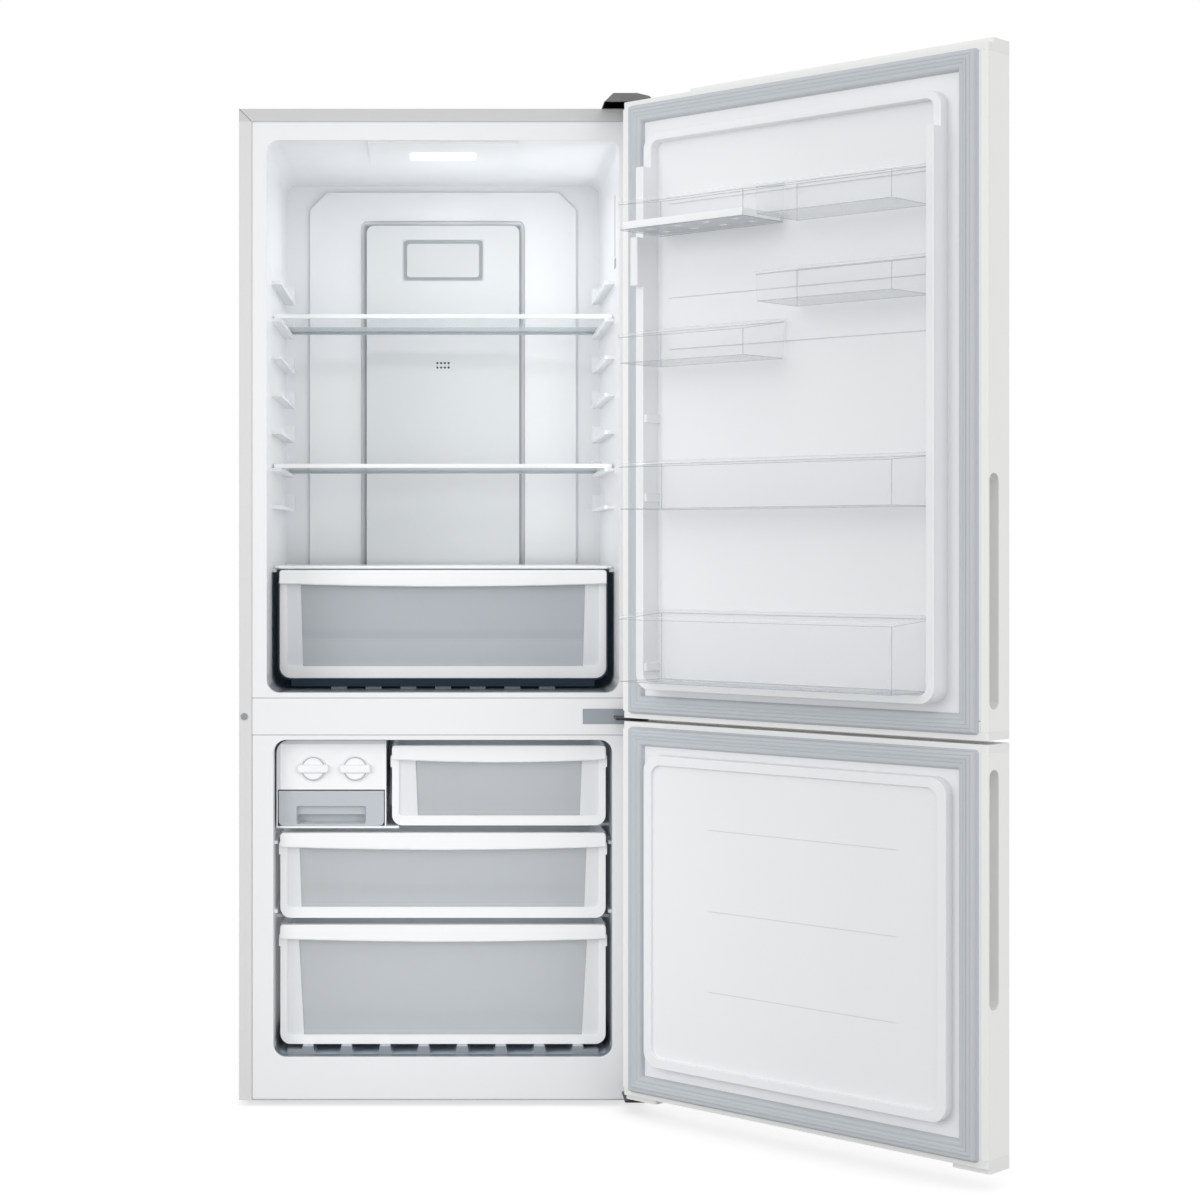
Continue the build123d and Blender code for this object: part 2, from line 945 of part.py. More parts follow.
housing = tunnel(
    ice_left,
    ice_right + 2 * cavity_radius,
    top_row_base - ice_shelf_thick - fit - 2 * cavity_radius,
    ice_top,
    ice_front,
    ice_rear,
    cavity_radius,
)
housing = housing & block(
    ice_left, ice_right, ice_front, ice_rear, top_row_base - ice_shelf_thick - fit, ice_top
)
inside_width = tunnel(
    ice_left + ice_wall,
    ice_right + 2 * cavity_radius,
    top_row_base - 2 * cavity_radius,
    ice_top - ice_wall,
    ice_front + ice_wall,
    ice_rear - ice_wall,
    cavity_radius - ice_wall,
)
housing = housing - (
    inside_width
    & block(ice_left, ice_right - ice_wall, ice_front, ice_rear, top_row_base - fit, ice_top)
)
housing = housing - block(
    ice_left + ice_wall,
    ice_right - ice_wall,
    ice_front - 1,
    ice_front + ice_wall + 1,
    top_row_base - fit,
    ice_bezel_bottom,
)
side_rail = block(
    ice_right - ice_wall,
    ice_shelf_right,
    ice_front,
    ice_rear,
    top_row_base - ice_shelf_thick - fit,
    top_row_base - fit,
)
housing = housing + side_rail
for axis_x in (ice_axis_left, ice_axis_right):
    housing = housing - along_y(
        axis_x, ice_axis_z, ice_spindle_radius + spindle_clearance, ice_front - 1, ice_front + ice_wall + 1
    )
    housing = housing - along_y(
        axis_x, ice_axis_z, ice_spindle_radius + spindle_clearance, ice_rear - ice_wall - 1, ice_rear + 1
    )
save(housing, "ice_maker_housing")


def ice_tray(axis_x):
    """A twist tray of seven rows of cubes, on a spindle at each end."""
    half = ice_tray_width / 2
    low = ice_axis_z - ice_tray_height / 2
    high = ice_axis_z + ice_tray_height / 2
    tray = block(axis_x - half, axis_x + half, tray_front, tray_rear, low, high)
    cell_length = (ice_tray_length - cube_wall) / cube_rows - cube_wall
    cell_width = half - 1.5 * cube_wall
    for row in range(cube_rows):
        y0 = tray_front + cube_wall + row * (cell_length + cube_wall)
        for side in (-1, 1):
            middle = axis_x + side * (cell_width + cube_wall) / 2
            tray = tray - block(
                middle - cell_width / 2,
                middle + cell_width / 2,
                y0,
                y0 + cell_length,
                low + cube_wall,
                high + 1,
            )
    front_spindle = along_y(axis_x, ice_axis_z, ice_spindle_radius, ice_front, tray_front + cube_wall)
    rear_spindle = along_y(axis_x, ice_axis_z, ice_spindle_radius, tray_rear - cube_wall, ice_rear)
    return tray + front_spindle + rear_spindle


knob_gap = 0.5
knob_thick = 4.0
knob_bar_half = 27.0
knob_bar_height = 15.0
knob_bar_reach = 9.0
knob_bar_round = 5.0


def ice_knob(axis_x):
    """A round plate with a wide finger bar across it."""
    back = ice_front - knob_gap
    plate = along_y(axis_x, ice_axis_z, ice_knob_radius, back - knob_thick, back)
    bar = tunnel(
        axis_x - knob_bar_half,
        axis_x + knob_bar_half,
        ice_axis_z - knob_bar_height / 2,
        ice_axis_z + knob_bar_height / 2,
        back - knob_bar_reach,
        back,
        knob_bar_round,
    )
    stub = along_y(axis_x, ice_axis_z, ice_spindle_radius, back, ice_front)
    return plate + bar + stub


save(ice_tray(ice_axis_left), "left_ice_tray")
save(ice_tray(ice_axis_right), "right_ice_tray")
save(ice_knob(ice_axis_left), "left_ice_knob")
save(ice_knob(ice_axis_right), "right_ice_knob")

ice_bin_gap = 1.5
bin_x0 = ice_left + ice_wall + ice_bin_gap
bin_x1 = ice_right - ice_wall - ice_bin_gap
ice_bin_headroom = 2.0
ice_bin_rear_room = 8.0
ice_bin_setback = 1.0
ice_bin_wall = 2.0
ice_bin_round = 8.0
bin_top = ice_bezel_bottom - ice_bin_headroom
ice_bin_front = ice_front + ice_bin_setback
ice_bin_rear = ice_rear - ice_wall - ice_bin_rear_room
ice_bin = open_box(
    bin_x0, bin_x1, ice_bin_front, ice_bin_rear, top_row_base, bin_top, ice_bin_wall, ice_bin_round
)
grip_half = 60.0
grip_base = 3.0
grip_step_height = 19.0
grip_top_height = 34.0
grip_deep = 22.0
grip_shallow = 9.0
grip_round = 4.0
grip_low = top_row_base + grip_base
grip_high = top_row_base + grip_top_height
grip_step = top_row_base + grip_step_height
bin_middle = (bin_x0 + bin_x1) / 2


def scoop(grow, deep, low, high, inset):
    """One step of the finger recess in the bin's front, grown by a wall if asked."""
    return tunnel(
        bin_middle - grip_half - grow + inset,
        bin_middle + grip_half + grow - inset,
        low - grow,
        high + grow,
        ice_bin_front - (0 if grow else 1),
        ice_front + deep + grow,
        grip_round + grow,
    )


grip_pocket_inset = 1.5
pocket = (grip_deep, grip_low + grip_pocket_inset, grip_step, grip_pocket_inset)
recess_wall = scoop(ice_bin_wall, grip_shallow, grip_low, grip_high, 0)
recess_wall = recess_wall + scoop(ice_bin_wall, *pocket)
recess_wall = recess_wall & block(bin_x0, bin_x1, ice_front, ice_rear, top_row_base, bin_top)
ice_bin = ice_bin + recess_wall
ice_bin = ice_bin - scoop(0, grip_shallow, grip_low, grip_high, 0) - scoop(0, *pocket)
save(ice_bin, "ice_bin")

# ---------------------------------------------------------------- freezer works
cover_setback = 10.0
cover_y = drawer_rear + cover_setback
fan_z = 545.0
fan_radius = 48.0
fan_hub = 16.0
fan_blades = 5
fan_thick = 14.0
vent_radius = 52.0
motor_radius = 18.0
motor_length = 12.0
post_radius = 3.0
post_gap = 4.0
fan_gap = 10.0

evaporator_cover = block(
    -freezer_half + 1, freezer_half - 1, cover_y, cover_y + plastic, hump_top + 1, freezer_ceiling - 1
)
corner = tunnel(
    -freezer_half + 1,
    freezer_half - 1,
    freezer_floor,
    freezer_ceiling - 1,
    cover_y - 1,
    cover_y + plastic + 1,
    cavity_radius,
)
evaporator_cover = evaporator_cover & corner
vent_slots = 5
vent_pitch = 16.0
vent_half = 3.0
for index in range(vent_slots):
    slot_z = fan_z + (index - (vent_slots - 1) / 2) * vent_pitch
    evaporator_cover = evaporator_cover - block(
        -vent_radius,
        vent_radius,
        cover_y - 1,
        cover_y + plastic + 1,
        slot_z - vent_half,
        slot_z + vent_half,
    )
motor = along_y(0, fan_z, motor_radius, freezer_depth - motor_length, freezer_depth)
motor_post = along_y(0, fan_z, post_radius, cover_y + plastic + post_gap, freezer_depth)
save(evaporator_cover, "evaporator_cover")
save(motor + motor_post, "fan_motor")

blade_overlap = 2.0
blade_thick = 2.0
blade_width = 26.0
blade_tilt = 30.0
blade_root = fan_hub - blade_overlap
fan_y = cover_y + fan_gap
fan = along_y(0, fan_z, fan_hub, fan_y, fan_y + fan_thick)
for index in range(fan_blades):
    blade = Box(fan_radius - blade_root, blade_thick, blade_width)
    blade = Rot(blade_tilt, 0, 0) * blade
    blade = Pos((fan_radius + blade_root) / 2, 0, 0) * blade
    blade = Rot(0, index * 360 / fan_blades, 0) * blade
    fan = fan + Pos(0, fan_y + fan_thick / 2, fan_z) * blade
fan = fan - along_y(0, fan_z, post_radius + pin_clearance, cover_y, freezer_depth)
save(fan, "evaporator_fan")

fin_count = 18
fin_pitch = 26.0
fin_thick = 1.0
coil_lift = 20.0
fin_height = 130.0
fin_lead = 8.0
fin_rear_room = 6.0
tube_radius = 4.0
tube_rows = 4
tube_overhang = 12.0
fin_bottom = hump_top + coil_lift
fin_front = cover_y + fin_lead
fin_rear = freezer_depth - fin_rear_room
coil_half = (fin_count - 1) * fin_pitch / 2 + tube_overhang
coil = None
for index in range(fin_count):
    fin_x = (index - (fin_count - 1) / 2) * fin_pitch
    fin = block(
        fin_x - fin_thick / 2, fin_x + fin_thick / 2, fin_front, fin_rear, fin_bottom, fin_bottom + fin_height
    )
    coil = fin if coil is None else coil + fin
for row in range(tube_rows):
    tube_z = fin_bottom + (row + 0.5) * fin_height / tube_rows
    coil = coil + along_x(-coil_half, coil_half, (fin_front + fin_rear) / 2, tube_z, tube_radius)
for side in (-1, 1):
    header_x = side * coil_half
    coil = coil + upright(
        header_x,
        (fin_front + fin_rear) / 2,
        tube_radius,
        fin_bottom + fin_height / tube_rows / 2,
        fin_bottom + fin_height - fin_height / tube_rows / 2,
    )
save(coil, "evaporator_coil")

# compressor on its mounting feet in the machine room
compressor_radius = 62.0
compressor_x = 120.0
compressor_y = (machine_front + cabinet_depth) / 2
compressor_foot = 14.0
mount_half_x = 85.0
mount_half_y = 50.0
mount_foot_x = 72.0
mount_foot_y = 38.0
mount_foot_radius = 11.0
mount_plate = 3.0
dome = 34.0
body_height = 100.0
shell_low = foam_base + compressor_foot
compressor = upright(compressor_x, compressor_y, compressor_radius, shell_low, shell_low + body_height + dome)
rim_edges = compressor.edges().filter_by(GeomType.CIRCLE).sort_by(Axis.Z)[-1]
compressor = fillet(rim_edges, dome)
foot_plate = block(
    compressor_x - mount_half_x,
    compressor_x + mount_half_x,
    compressor_y - mount_half_y,
    compressor_y + mount_half_y,
    shell_low,
    shell_low + mount_plate,
)
compressor = compressor + foot_plate
for dx in (-mount_foot_x, mount_foot_x):
    for dy in (-mount_foot_y, mount_foot_y):
        compressor = compressor + upright(
            compressor_x + dx, compressor_y + dy, mount_foot_radius, foam_base, shell_low
        )
save(compressor, "compressor")

# ---------------------------------------------------------------- feet and rollers
feet = []
for foot_x, foot_y in foot_places:
    pad = upright(foot_x, foot_y, foot_radius, 0, foot_pad)
    stem = upright(foot_x, foot_y, foot_stem_radius, foot_pad, foot_stem_top)
    feet.append(pad + stem)
save(Compound(children=feet), "levelling_feet")

rollers = []
for roller_x in roller_places:
    wheel = along_x(
        roller_x - roller_width / 2, roller_x + roller_width / 2, roller_y, roller_radius, roller_radius
    )
    reach = ear_half + ear_thick
    axle = along_x(roller_x - reach, roller_x + reach, roller_y, roller_radius, axle_radius)
    rollers.append(wheel + axle)
save(Compound(children=rollers), "rear_rollers")

# ---------------------------------------------------------------- doors


def door_x(from_hinge_edge):
    """Where a distance from the hinge side edge of a closed door lies along X."""
    return half_width - from_hinge_edge


def door_skin(z0, z1, grip):
    """The painted wrap of a door: front, both sides and a narrow return."""
    low = z0 + cap_height
    high = z1 - cap_height
    outside = slab(-half_width, half_width, door_outer_y, door_inner_y, low, high, door_edge_radius)
    square = block(-half_width, half_width, door_inner_y - door_edge_radius, door_inner_y, low, high)
    inside = slab(
        -half_width + steel,
        half_width - steel,
        door_outer_y + steel,
        door_inner_y - steel,
        low - 1,
        high + 1,
        door_edge_radius - steel,
    )
    inner_square = block(
        -half_width + steel,
        half_width - steel,
        door_inner_y - 2 * door_edge_radius,
        door_inner_y - steel,
        low - 1,
        high + 1,
    )
    window = block(
        -half_width + door_return,
        half_width - door_return,
        door_inner_y - steel - 1,
        door_inner_y + 1,
        low - 1,
        high + 1,
    )
    return outside + square - inside - inner_square - window - grip_hole(*grip, 0)


door_return = 13.0
grip_wall = 1.5


def grip_hole(z0, z1, wall):
    """The pocket for fingers in the free edge of a door, grown by a wall if asked."""
    y1 = door_inner_y - grip_from_face + wall
    y0 = door_inner_y - grip_from_face - grip_width - wall
    outline = Plane.YZ * Pos((y0 + y1) / 2, (z0 + z1) / 2)
    outline = outline * RectangleRounded(y1 - y0, z1 - z0 + 2 * wall, grip_width / 2 - 1)
    pocket = extrude(outline, amount=grip_depth + wall + 1, dir=(1, 0, 0))
    return Pos(-half_width - 1, 0, 0) * pocket


def door_grip(z0, z1):
    """A moulded cup that lines the finger pocket."""
    inside = block(-half_width + steel, 0, door_outer_y, door_inner_y, z0 - grip_depth, z1 + grip_depth)
    cup = grip_hole(z0, z1, grip_wall) & inside
    return cup - grip_hole(z0, z1, 0)


def door_core(z0, z1, grip):
    """The foam block inside the skin, the lining and the end caps."""
    core = slab(
        -half_width + steel,
        half_width - steel,
        door_outer_y + steel,
        door_inner_y - plastic,
        z0 + cap_height,
        z1 - cap_height,
        door_edge_radius - steel,
    )
    return core - grip_hole(*grip, grip_wall)


def end_cap(z0, z1):
    """A plain moulded cap closing one end of a door."""
    return slab(-half_width, half_width, door_outer_y, door_inner_y, z0, z1, door_edge_radius)


def pin_hole(z0, z1):
    """The bore in an end cap that turns on a hinge pin."""
    return upright(hinge_x, hinge_y, pin_radius + pin_clearance, z0, z1)


def ring(x0, x1, z0, z1, y0, y1, width_low_x, width_high_x, width_z, radius):
    """An upright rectangular ring lying against a door's inner face."""
    outside = tunnel(x0, x1, z0, z1, y0, y1, radius)
    inner_radius = max(radius - min(width_low_x, width_high_x, width_z), 2.0)
    inside = tunnel(
        x0 + width_low_x, x1 - width_high_x, z0 + width_z, z1 - width_z, y0 - 1, y1 + 1, inner_radius
    )
    return outside - inside


def gasket(z0, z1):
    """A magnetic seal: a flat base, a raised bulb and a smaller inner bead."""
    x0 = -half_width + gasket_inset
    x1 = half_width - gasket_inset
    low = z0 + gasket_edge
    high = z1 - gasket_edge
    base_y = door_inner_y + gasket_base
    flat = ring(x0, x1, low, high, door_inner_y, base_y, *[gasket_width] * 3, gasket_round)
    bulb = ring(
        x0 + bulb_inset,
        x1 - bulb_inset,
        low + bulb_inset,
        high - bulb_inset,
        base_y,
        -seal_gap,
        *[bulb_width] * 3,
        gasket_round,
    )
    bead_at = bulb_inset + bulb_width + bead_gap
    bead = ring(
        x0 + bead_at,
        x1 - bead_at,
        low + bead_at,
        high - bead_at,
        base_y,
        base_y + bead_height,
        *[bead_width] * 3,
        gasket_round,
    )
    return flat + bulb + bead


gasket_edge = 8.0
gasket_base = 3.0
gasket_round = 5.0
seal_gap = 0.5
bulb_inset = 2.0
bulb_width = 17.0
bead_gap = 3.0
bead_width = 6.0
bead_height = 3.5
top_cap_inner = door_inner_y - cap_ridge_setback


def lining_plate(z0, z1):
    """The flat sheet of a door lining, up to the skin's return."""
    return block(
        -half_width + door_return,
        half_width - door_return,
        door_inner_y - plastic,
        door_inner_y,
        z0 + cap_height,
        z1 - cap_height,
    )


# upper door
upper_grip = (upper_grip_bottom, upper_grip_top)
lower_grip = (lower_grip_bottom, lower_grip_top)
dike_x0 = -half_width + dike_handle_inset
dike_x1 = half_width - dike_hinge_inset


def dike_ring(shrink, back, height):
    """The raised rim of the lining, drawn in by a wall if asked."""
    return ring(
        dike_x0 + shrink,
        dike_x1 - shrink,
        dike_bottom + shrink,
        dike_top - shrink,
        back,
        door_inner_y + height - shrink,
        dike_handle_width - 2 * shrink,
        dike_hinge_width - 2 * shrink,
        dike_rail - 2 * shrink,
        dike_radius - shrink,
    )


def dike(shrink, back):
    """The rim is low across the top and stands taller below a step."""
    low_part = dike_ring(shrink, back, dike_low_height)
    tall_part = dike_ring(shrink, back, dike_height)
    below = block(-half_width, half_width, back - 1, cabinet_depth, 0, dike_step - shrink)
    return low_part + (tall_part & below)


dike_core = dike(plastic, door_inner_y - 2 * plastic)
rails = ((1525.0, 1543.0), (1369.0, 1390.0), (1284.0, 1304.0))
rail_slope = 18.0
pad_low = 1388.0
pad_high = 1468.0
pad_height = 56.0
pad_round = 4.0
lug_height = 14.0
lug_setback = 4.0
lug_thick = 4.0
wide_bins = {"wide_door_bin": (1018.0, 1092.0), "bottle_door_bin": (738.0, 845.0)}
spare_lug_z = 1163.0

upper_lining = lining_plate(upper_door_bottom, upper_door_top) + dike(0, door_inner_y - plastic)
rail_x0 = dike_x0 + dike_handle_width
rail_x1 = dike_x1 - dike_hinge_width
rail_length = door_x(rail_from_hinge) - rail_x0
for rail_low, rail_high in rails:
    section = Polygon(
        (door_inner_y - plastic, rail_low),
        (door_inner_y + rail_reach, rail_low),
        (door_inner_y + rail_reach, rail_high),
        (door_inner_y, rail_high + rail_slope),
        (door_inner_y - plastic, rail_high + rail_slope),
        align=None,
    )
    rail = Pos(rail_x0, 0, 0) * extrude(Plane.YZ * section, amount=rail_length, dir=(1, 0, 0))
    upper_lining = upper_lining + rail
upper_lining = upper_lining + slab(
    dike_x1 - dike_hinge_width,
    dike_x1,
    door_inner_y,
    door_inner_y + pad_height,
    pad_low,
    pad_high,
    pad_round,
)
lug_y = door_inner_y + dike_height - lug_setback
lug_levels = [low + lug_height for low, high in wide_bins.values()]
lug_levels.append(spare_lug_z)
for lug_z in lug_levels:
    upper_lining = upper_lining + block(
        rail_x0, rail_x0 + lug_thick, door_inner_y, lug_y, lug_z, lug_z + lug_height
    )
    upper_lining = upper_lining + block(
        rail_x1 - lug_thick, rail_x1, door_inner_y, lug_y, lug_z, lug_z + lug_height
    )
save(swing_open(upper_lining - dike_core), "upper_door_liner")
save(swing_open(door_skin(upper_door_bottom, upper_door_top, upper_grip)), "upper_door_skin")
save(swing_open(door_grip(*upper_grip)), "upper_door_grip")
upper_core = door_core(upper_door_bottom, upper_door_top, upper_grip)
upper_core = upper_core + dike_core
save(swing_open(upper_core), "upper_door_foam")
save(swing_open(gasket(upper_door_bottom, upper_door_top)), "upper_door_gasket")

upper_cap_top = end_cap(upper_door_top - cap_height, upper_door_top)
ridge = slab(
    -half_width,
    door_x(cap_ridge_start),
    door_outer_y,
    top_cap_inner,
    upper_door_top,
    upper_door_top + cap_ridge,
    door_edge_radius,
)
upper_cap_top = upper_cap_top + ridge - pin_hole(upper_door_top - cap_height - 1, upper_door_top + 1)
upper_cap_bottom = end_cap(upper_door_bottom, upper_door_bottom + cap_height)
upper_cap_bottom = upper_cap_bottom - pin_hole(upper_door_bottom - 1, upper_door_bottom + cap_height + 1)
upper_caps = [swing_open(upper_cap_top), swing_open(upper_cap_bottom)]
save(Compound(children=upper_caps), "upper_door_end_caps")

# lower door
plug_y = door_inner_y + plug_height
plug_x0 = -half_width + plug_inset
plug_x1 = half_width - plug_inset
plug_low = lower_door_bottom + plug_inset
plug_top_rise = 8.0
plug_high = lower_door_top - plug_inset + plug_top_rise


def plug_block(shrink, back, reach):
    """The raised panel of the lower lining, with a rim that stands a little prouder."""
    panel = tunnel(
        plug_x0 + shrink,
        plug_x1 - shrink,
        plug_low + shrink,
        plug_high - shrink,
        back,
        plug_y - reach,
        dike_radius,
    )
    dish = tunnel(
        plug_x0 + plug_rim - shrink,
        plug_x1 - plug_rim + shrink,
        plug_low + plug_rim - shrink,
        plug_high - plug_rim + shrink,
        plug_y - reach - plug_step,
        plug_y + 1,
        dike_radius - plug_rim / 2,
    )
    return panel - dish


lower_core_plug = plug_block(plastic, door_inner_y - 2 * plastic, plastic)
lower_lining = lining_plate(lower_door_bottom, lower_door_top)
lower_lining = lower_lining + plug_block(0, door_inner_y - plastic, 0) - lower_core_plug
save(swing_open(lower_lining), "lower_door_liner")
save(swing_open(door_skin(lower_door_bottom, lower_door_top, lower_grip)), "lower_door_skin")
save(swing_open(door_grip(*lower_grip)), "lower_door_grip")
lower_core = door_core(lower_door_bottom, lower_door_top, lower_grip) + lower_core_plug
save(swing_open(lower_core), "lower_door_foam")
save(swing_open(gasket(lower_door_bottom, lower_door_top)), "lower_door_gasket")

lower_cap_top = end_cap(lower_door_top - cap_height, lower_door_top)
lower_cap_top = lower_cap_top - pin_hole(lower_door_top - cap_height - 1, lower_door_top + 1)
lower_cap_bottom = end_cap(lower_door_bottom, lower_door_bottom + cap_height)
cap_foot_setback = 6.0
for start in (0.0, cabinet_width - cap_foot_length):
    lower_cap_bottom = lower_cap_bottom + slab(
        door_x(start + cap_foot_length),
        door_x(start),
        door_outer_y,
        door_inner_y - cap_foot_setback,
        lower_door_bottom - cap_foot,
        lower_door_bottom,
        door_edge_radius,
    )
lower_cap_bottom = lower_cap_bottom - pin_hole(
    lower_door_bottom - cap_foot - 1, lower_door_bottom + cap_height + 1
)
lower_caps = [swing_open(lower_cap_top), swing_open(lower_cap_bottom)]
save(Compound(children=lower_caps), "lower_door_end_caps")

# ---------------------------------------------------------------- door bins


def door_bin(from_edge, to_edge, back, z0, z1, rise):
    """A clear bin, open at the top, whose ends rise towards the door."""
    x0 = door_x(to_edge)
    x1 = door_x(from_edge)
    y0 = door_inner_y + back
    y1 = door_inner_y + bin_reach
    outside = slab(x0, x1, y0, y1, z0, z1 + rise, bin_radius)
    inside = slab(
        x0 + bin_wall,
        x1 - bin_wall,
        y0 + bin_wall,
        y1 - bin_wall,
        z0 + bin_wall,
        z1 + rise + 1,
        bin_radius - bin_wall,
    )
    slope = Polygon(
        (y1 + 1, z1), (y0 + bin_wall, z1 + rise), (y0 + bin_wall, z1 + rise + 2), (y1 + 1, z1 + rise + 2),
        align=None,
    )
    above = Pos(x0 - 1, 0, 0) * extrude(Plane.YZ * slope, amount=x1 - x0 + 2, dir=(1, 0, 0))
    return outside - inside - above


bin_radius = 6.0
wide_bin_back = 2.0
half_bin_back = rail_reach + fit
top_bin_floor = 1471.0
half_bins = {
    "top_hinge_side_bin": (bin_hinge_side, bin_middle_hinge, top_bin_floor),
    "top_handle_side_bin": (bin_middle_handle, bin_handle_side, top_bin_floor),
    "second_bin": (bin_middle_handle, bin_handle_side, 1336.0),
    "third_bin": (bin_hinge_side, bin_middle_hinge, 1255.0),
}
for name, (start, end, z0) in half_bins.items():
    shape = door_bin(start, end, half_bin_back, z0, z0 + half_bin_height, half_bin_rise)
    save(swing_open(shape), name)
for name, (z0, z1) in wide_bins.items():
    shape = door_bin(bin_hinge_side, bin_handle_side, wide_bin_back, z0, z1, wide_bin_rise)
    save(swing_open(shape), name)

tray_gap = 5.0
tray_height = 12.0
tray_low = top_bin_floor + bin_wall + fit
egg_tray = block(
    door_x(bin_middle_hinge) + bin_wall + tray_gap,
    door_x(bin_hinge_side) - bin_wall - tray_gap,
    door_inner_y + half_bin_back + bin_wall + tray_gap,
    door_inner_y + bin_reach - bin_wall - tray_gap,
    tray_low,
    tray_low + tray_height,
)
egg_radius = 20.0
egg_rise = 7.0
egg_columns = 4
egg_rows = 2
egg_pitch_x = 58.0
egg_pitch_y = 44.0
tray_centre_x = (door_x(bin_middle_hinge) + door_x(bin_hinge_side)) / 2
tray_centre_y = door_inner_y + (half_bin_back + bin_reach) / 2
for column in range(egg_columns):
    for row in range(egg_rows):
        egg_x = tray_centre_x + (column - (egg_columns - 1) / 2) * egg_pitch_x
        egg_y = tray_centre_y + (row - (egg_rows - 1) / 2) * egg_pitch_y
        egg_tray = egg_tray - Pos(egg_x, egg_y, tray_low + tray_height + egg_rise) * Sphere(egg_radius)
save(swing_open(egg_tray), "egg_tray")

# ---------------------------------------------------------------- hinges
hinge_reach = 14.0
plate_corner = 2.0
arm_left = 45.0
arm_right = 10.0
front_gap = 1.5
pin_overlap = 2.0
middle_pin_rise = 4.0

# middle hinge: a leaf on the mullion, a flat arm and a pin each way
leaf = block(
    hinge_leaf_left, liner_outer_half, liner_front, liner_front + hinge_leaf_thick, leaf_bottom, leaf_top
)
arm = slab(
    hinge_x - arm_left,
    hinge_x + arm_right,
    hinge_y - hinge_reach,
    liner_front + hinge_leaf_thick,
    arm_z - hinge_plate / 2,
    arm_z + hinge_plate / 2,
    plate_corner,
)
arm_window = block(liner_outer_half, half_width + 1, -front_gap, cabinet_depth, 0, cabinet_top)
middle_hinge = leaf + (arm - arm_window)
middle_hinge = middle_hinge + upright(
    hinge_x,
    hinge_y,
    pin_radius,
    arm_z - hinge_plate / 2 - pin_length / 2 - pin_overlap,
    arm_z + pin_length / 2 + middle_pin_rise,
)
save(middle_hinge, "middle_hinge")

# bottom hinge: a plate on the floor sheet that runs out under the lower door, and a pin
bottom_hinge = slab(
    hinge_x - bottom_hinge_width,
    hinge_x + arm_right,
    hinge_y - hinge_reach,
    -front_gap,
    bottom_plate_low,
    bottom_plate_top,
    plate_corner,
)
bottom_hinge = bottom_hinge + block(
    hinge_x - bottom_hinge_width,
    liner_outer_half - plate_corner,
    -2 * plate_corner,
    bottom_hinge_rear,
    bottom_plate_low,
    bottom_plate_top,
)
bottom_hinge = bottom_hinge + block(
    hinge_x - bottom_hinge_width,
    liner_outer_half - plate_corner,
    bottom_hinge_rear - bottom_hinge_leg,
    bottom_hinge_rear,
    foam_base,
    bottom_plate_top,
)
bottom_hinge = bottom_hinge + upright(
    hinge_x, hinge_y, pin_radius, bottom_plate_top - 1, lower_door_bottom + cap_height - pin_overlap
)
save(bottom_hinge, "bottom_hinge")

# top hinge: a plate on the roof with a pin down into the upper door
top_plate_left = 52.0
top_plate_rear = 58.0
top_hinge = slab(
    hinge_x - top_plate_left,
    hinge_x + arm_right,
    hinge_y - hinge_reach,
    top_plate_rear,
    cabinet_top,
    cabinet_top + hinge_plate,
    plate_corner,
)
top_hinge = top_hinge + upright(
    hinge_x, hinge_y, pin_radius, upper_door_top - cap_height + pin_overlap, cabinet_top
)
save(top_hinge, "top_hinge")

# top hinge cover, a low dark hood that slopes to the cabinet roof
hood_left_reach = 66.0
hood_front_room = 3.0
hood_rear = 66.0
hood_height = 15.0
hood_wall = 2.0
hood_foot = 2.0
hood_foot_lean = 3.0
hood_left_slope = 16.0
hood_right_slope = 24.0
hood_shoulder = 3.0
hood_shoulder_drop = 5.0
hood_right_drop = 8.0
hood_left = hinge_x - hood_left_reach
hood_right = hinge_x + hinge_reach
hood_front = hinge_y - hinge_reach - hood_front_room


def hood(inset, drop):
    """The hood's outline seen from the front, drawn in by a wall if asked."""
    low = cabinet_top - drop
    high = cabinet_top + hood_height - inset
    with BuildSketch(Plane.XZ.offset(-(hood_front + inset))) as outline:
        with BuildLine():
            Polyline(
                (hood_right - inset, low),
                (hood_left + inset, low),
                (hood_left + inset + hood_foot_lean, cabinet_top + hood_foot),
                (hood_left + inset + hood_left_slope, high),
                (hood_right - inset - hood_right_slope, high),
                (hood_right - inset - hood_shoulder, high - hood_shoulder_drop),
                (hood_right - inset, high - hood_right_drop),
                (hood_right - inset, low),
            )
        make_face()
    return extrude(outline.sketch, amount=hood_rear - hood_front - 2 * inset, dir=(0, 1, 0))


cover = hood(0, 0) - hood(hood_wall, 1)
save(cover, "top_hinge_cover")
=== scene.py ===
import json
import math

import bmesh
import bpy
from mathutils import Matrix, Vector


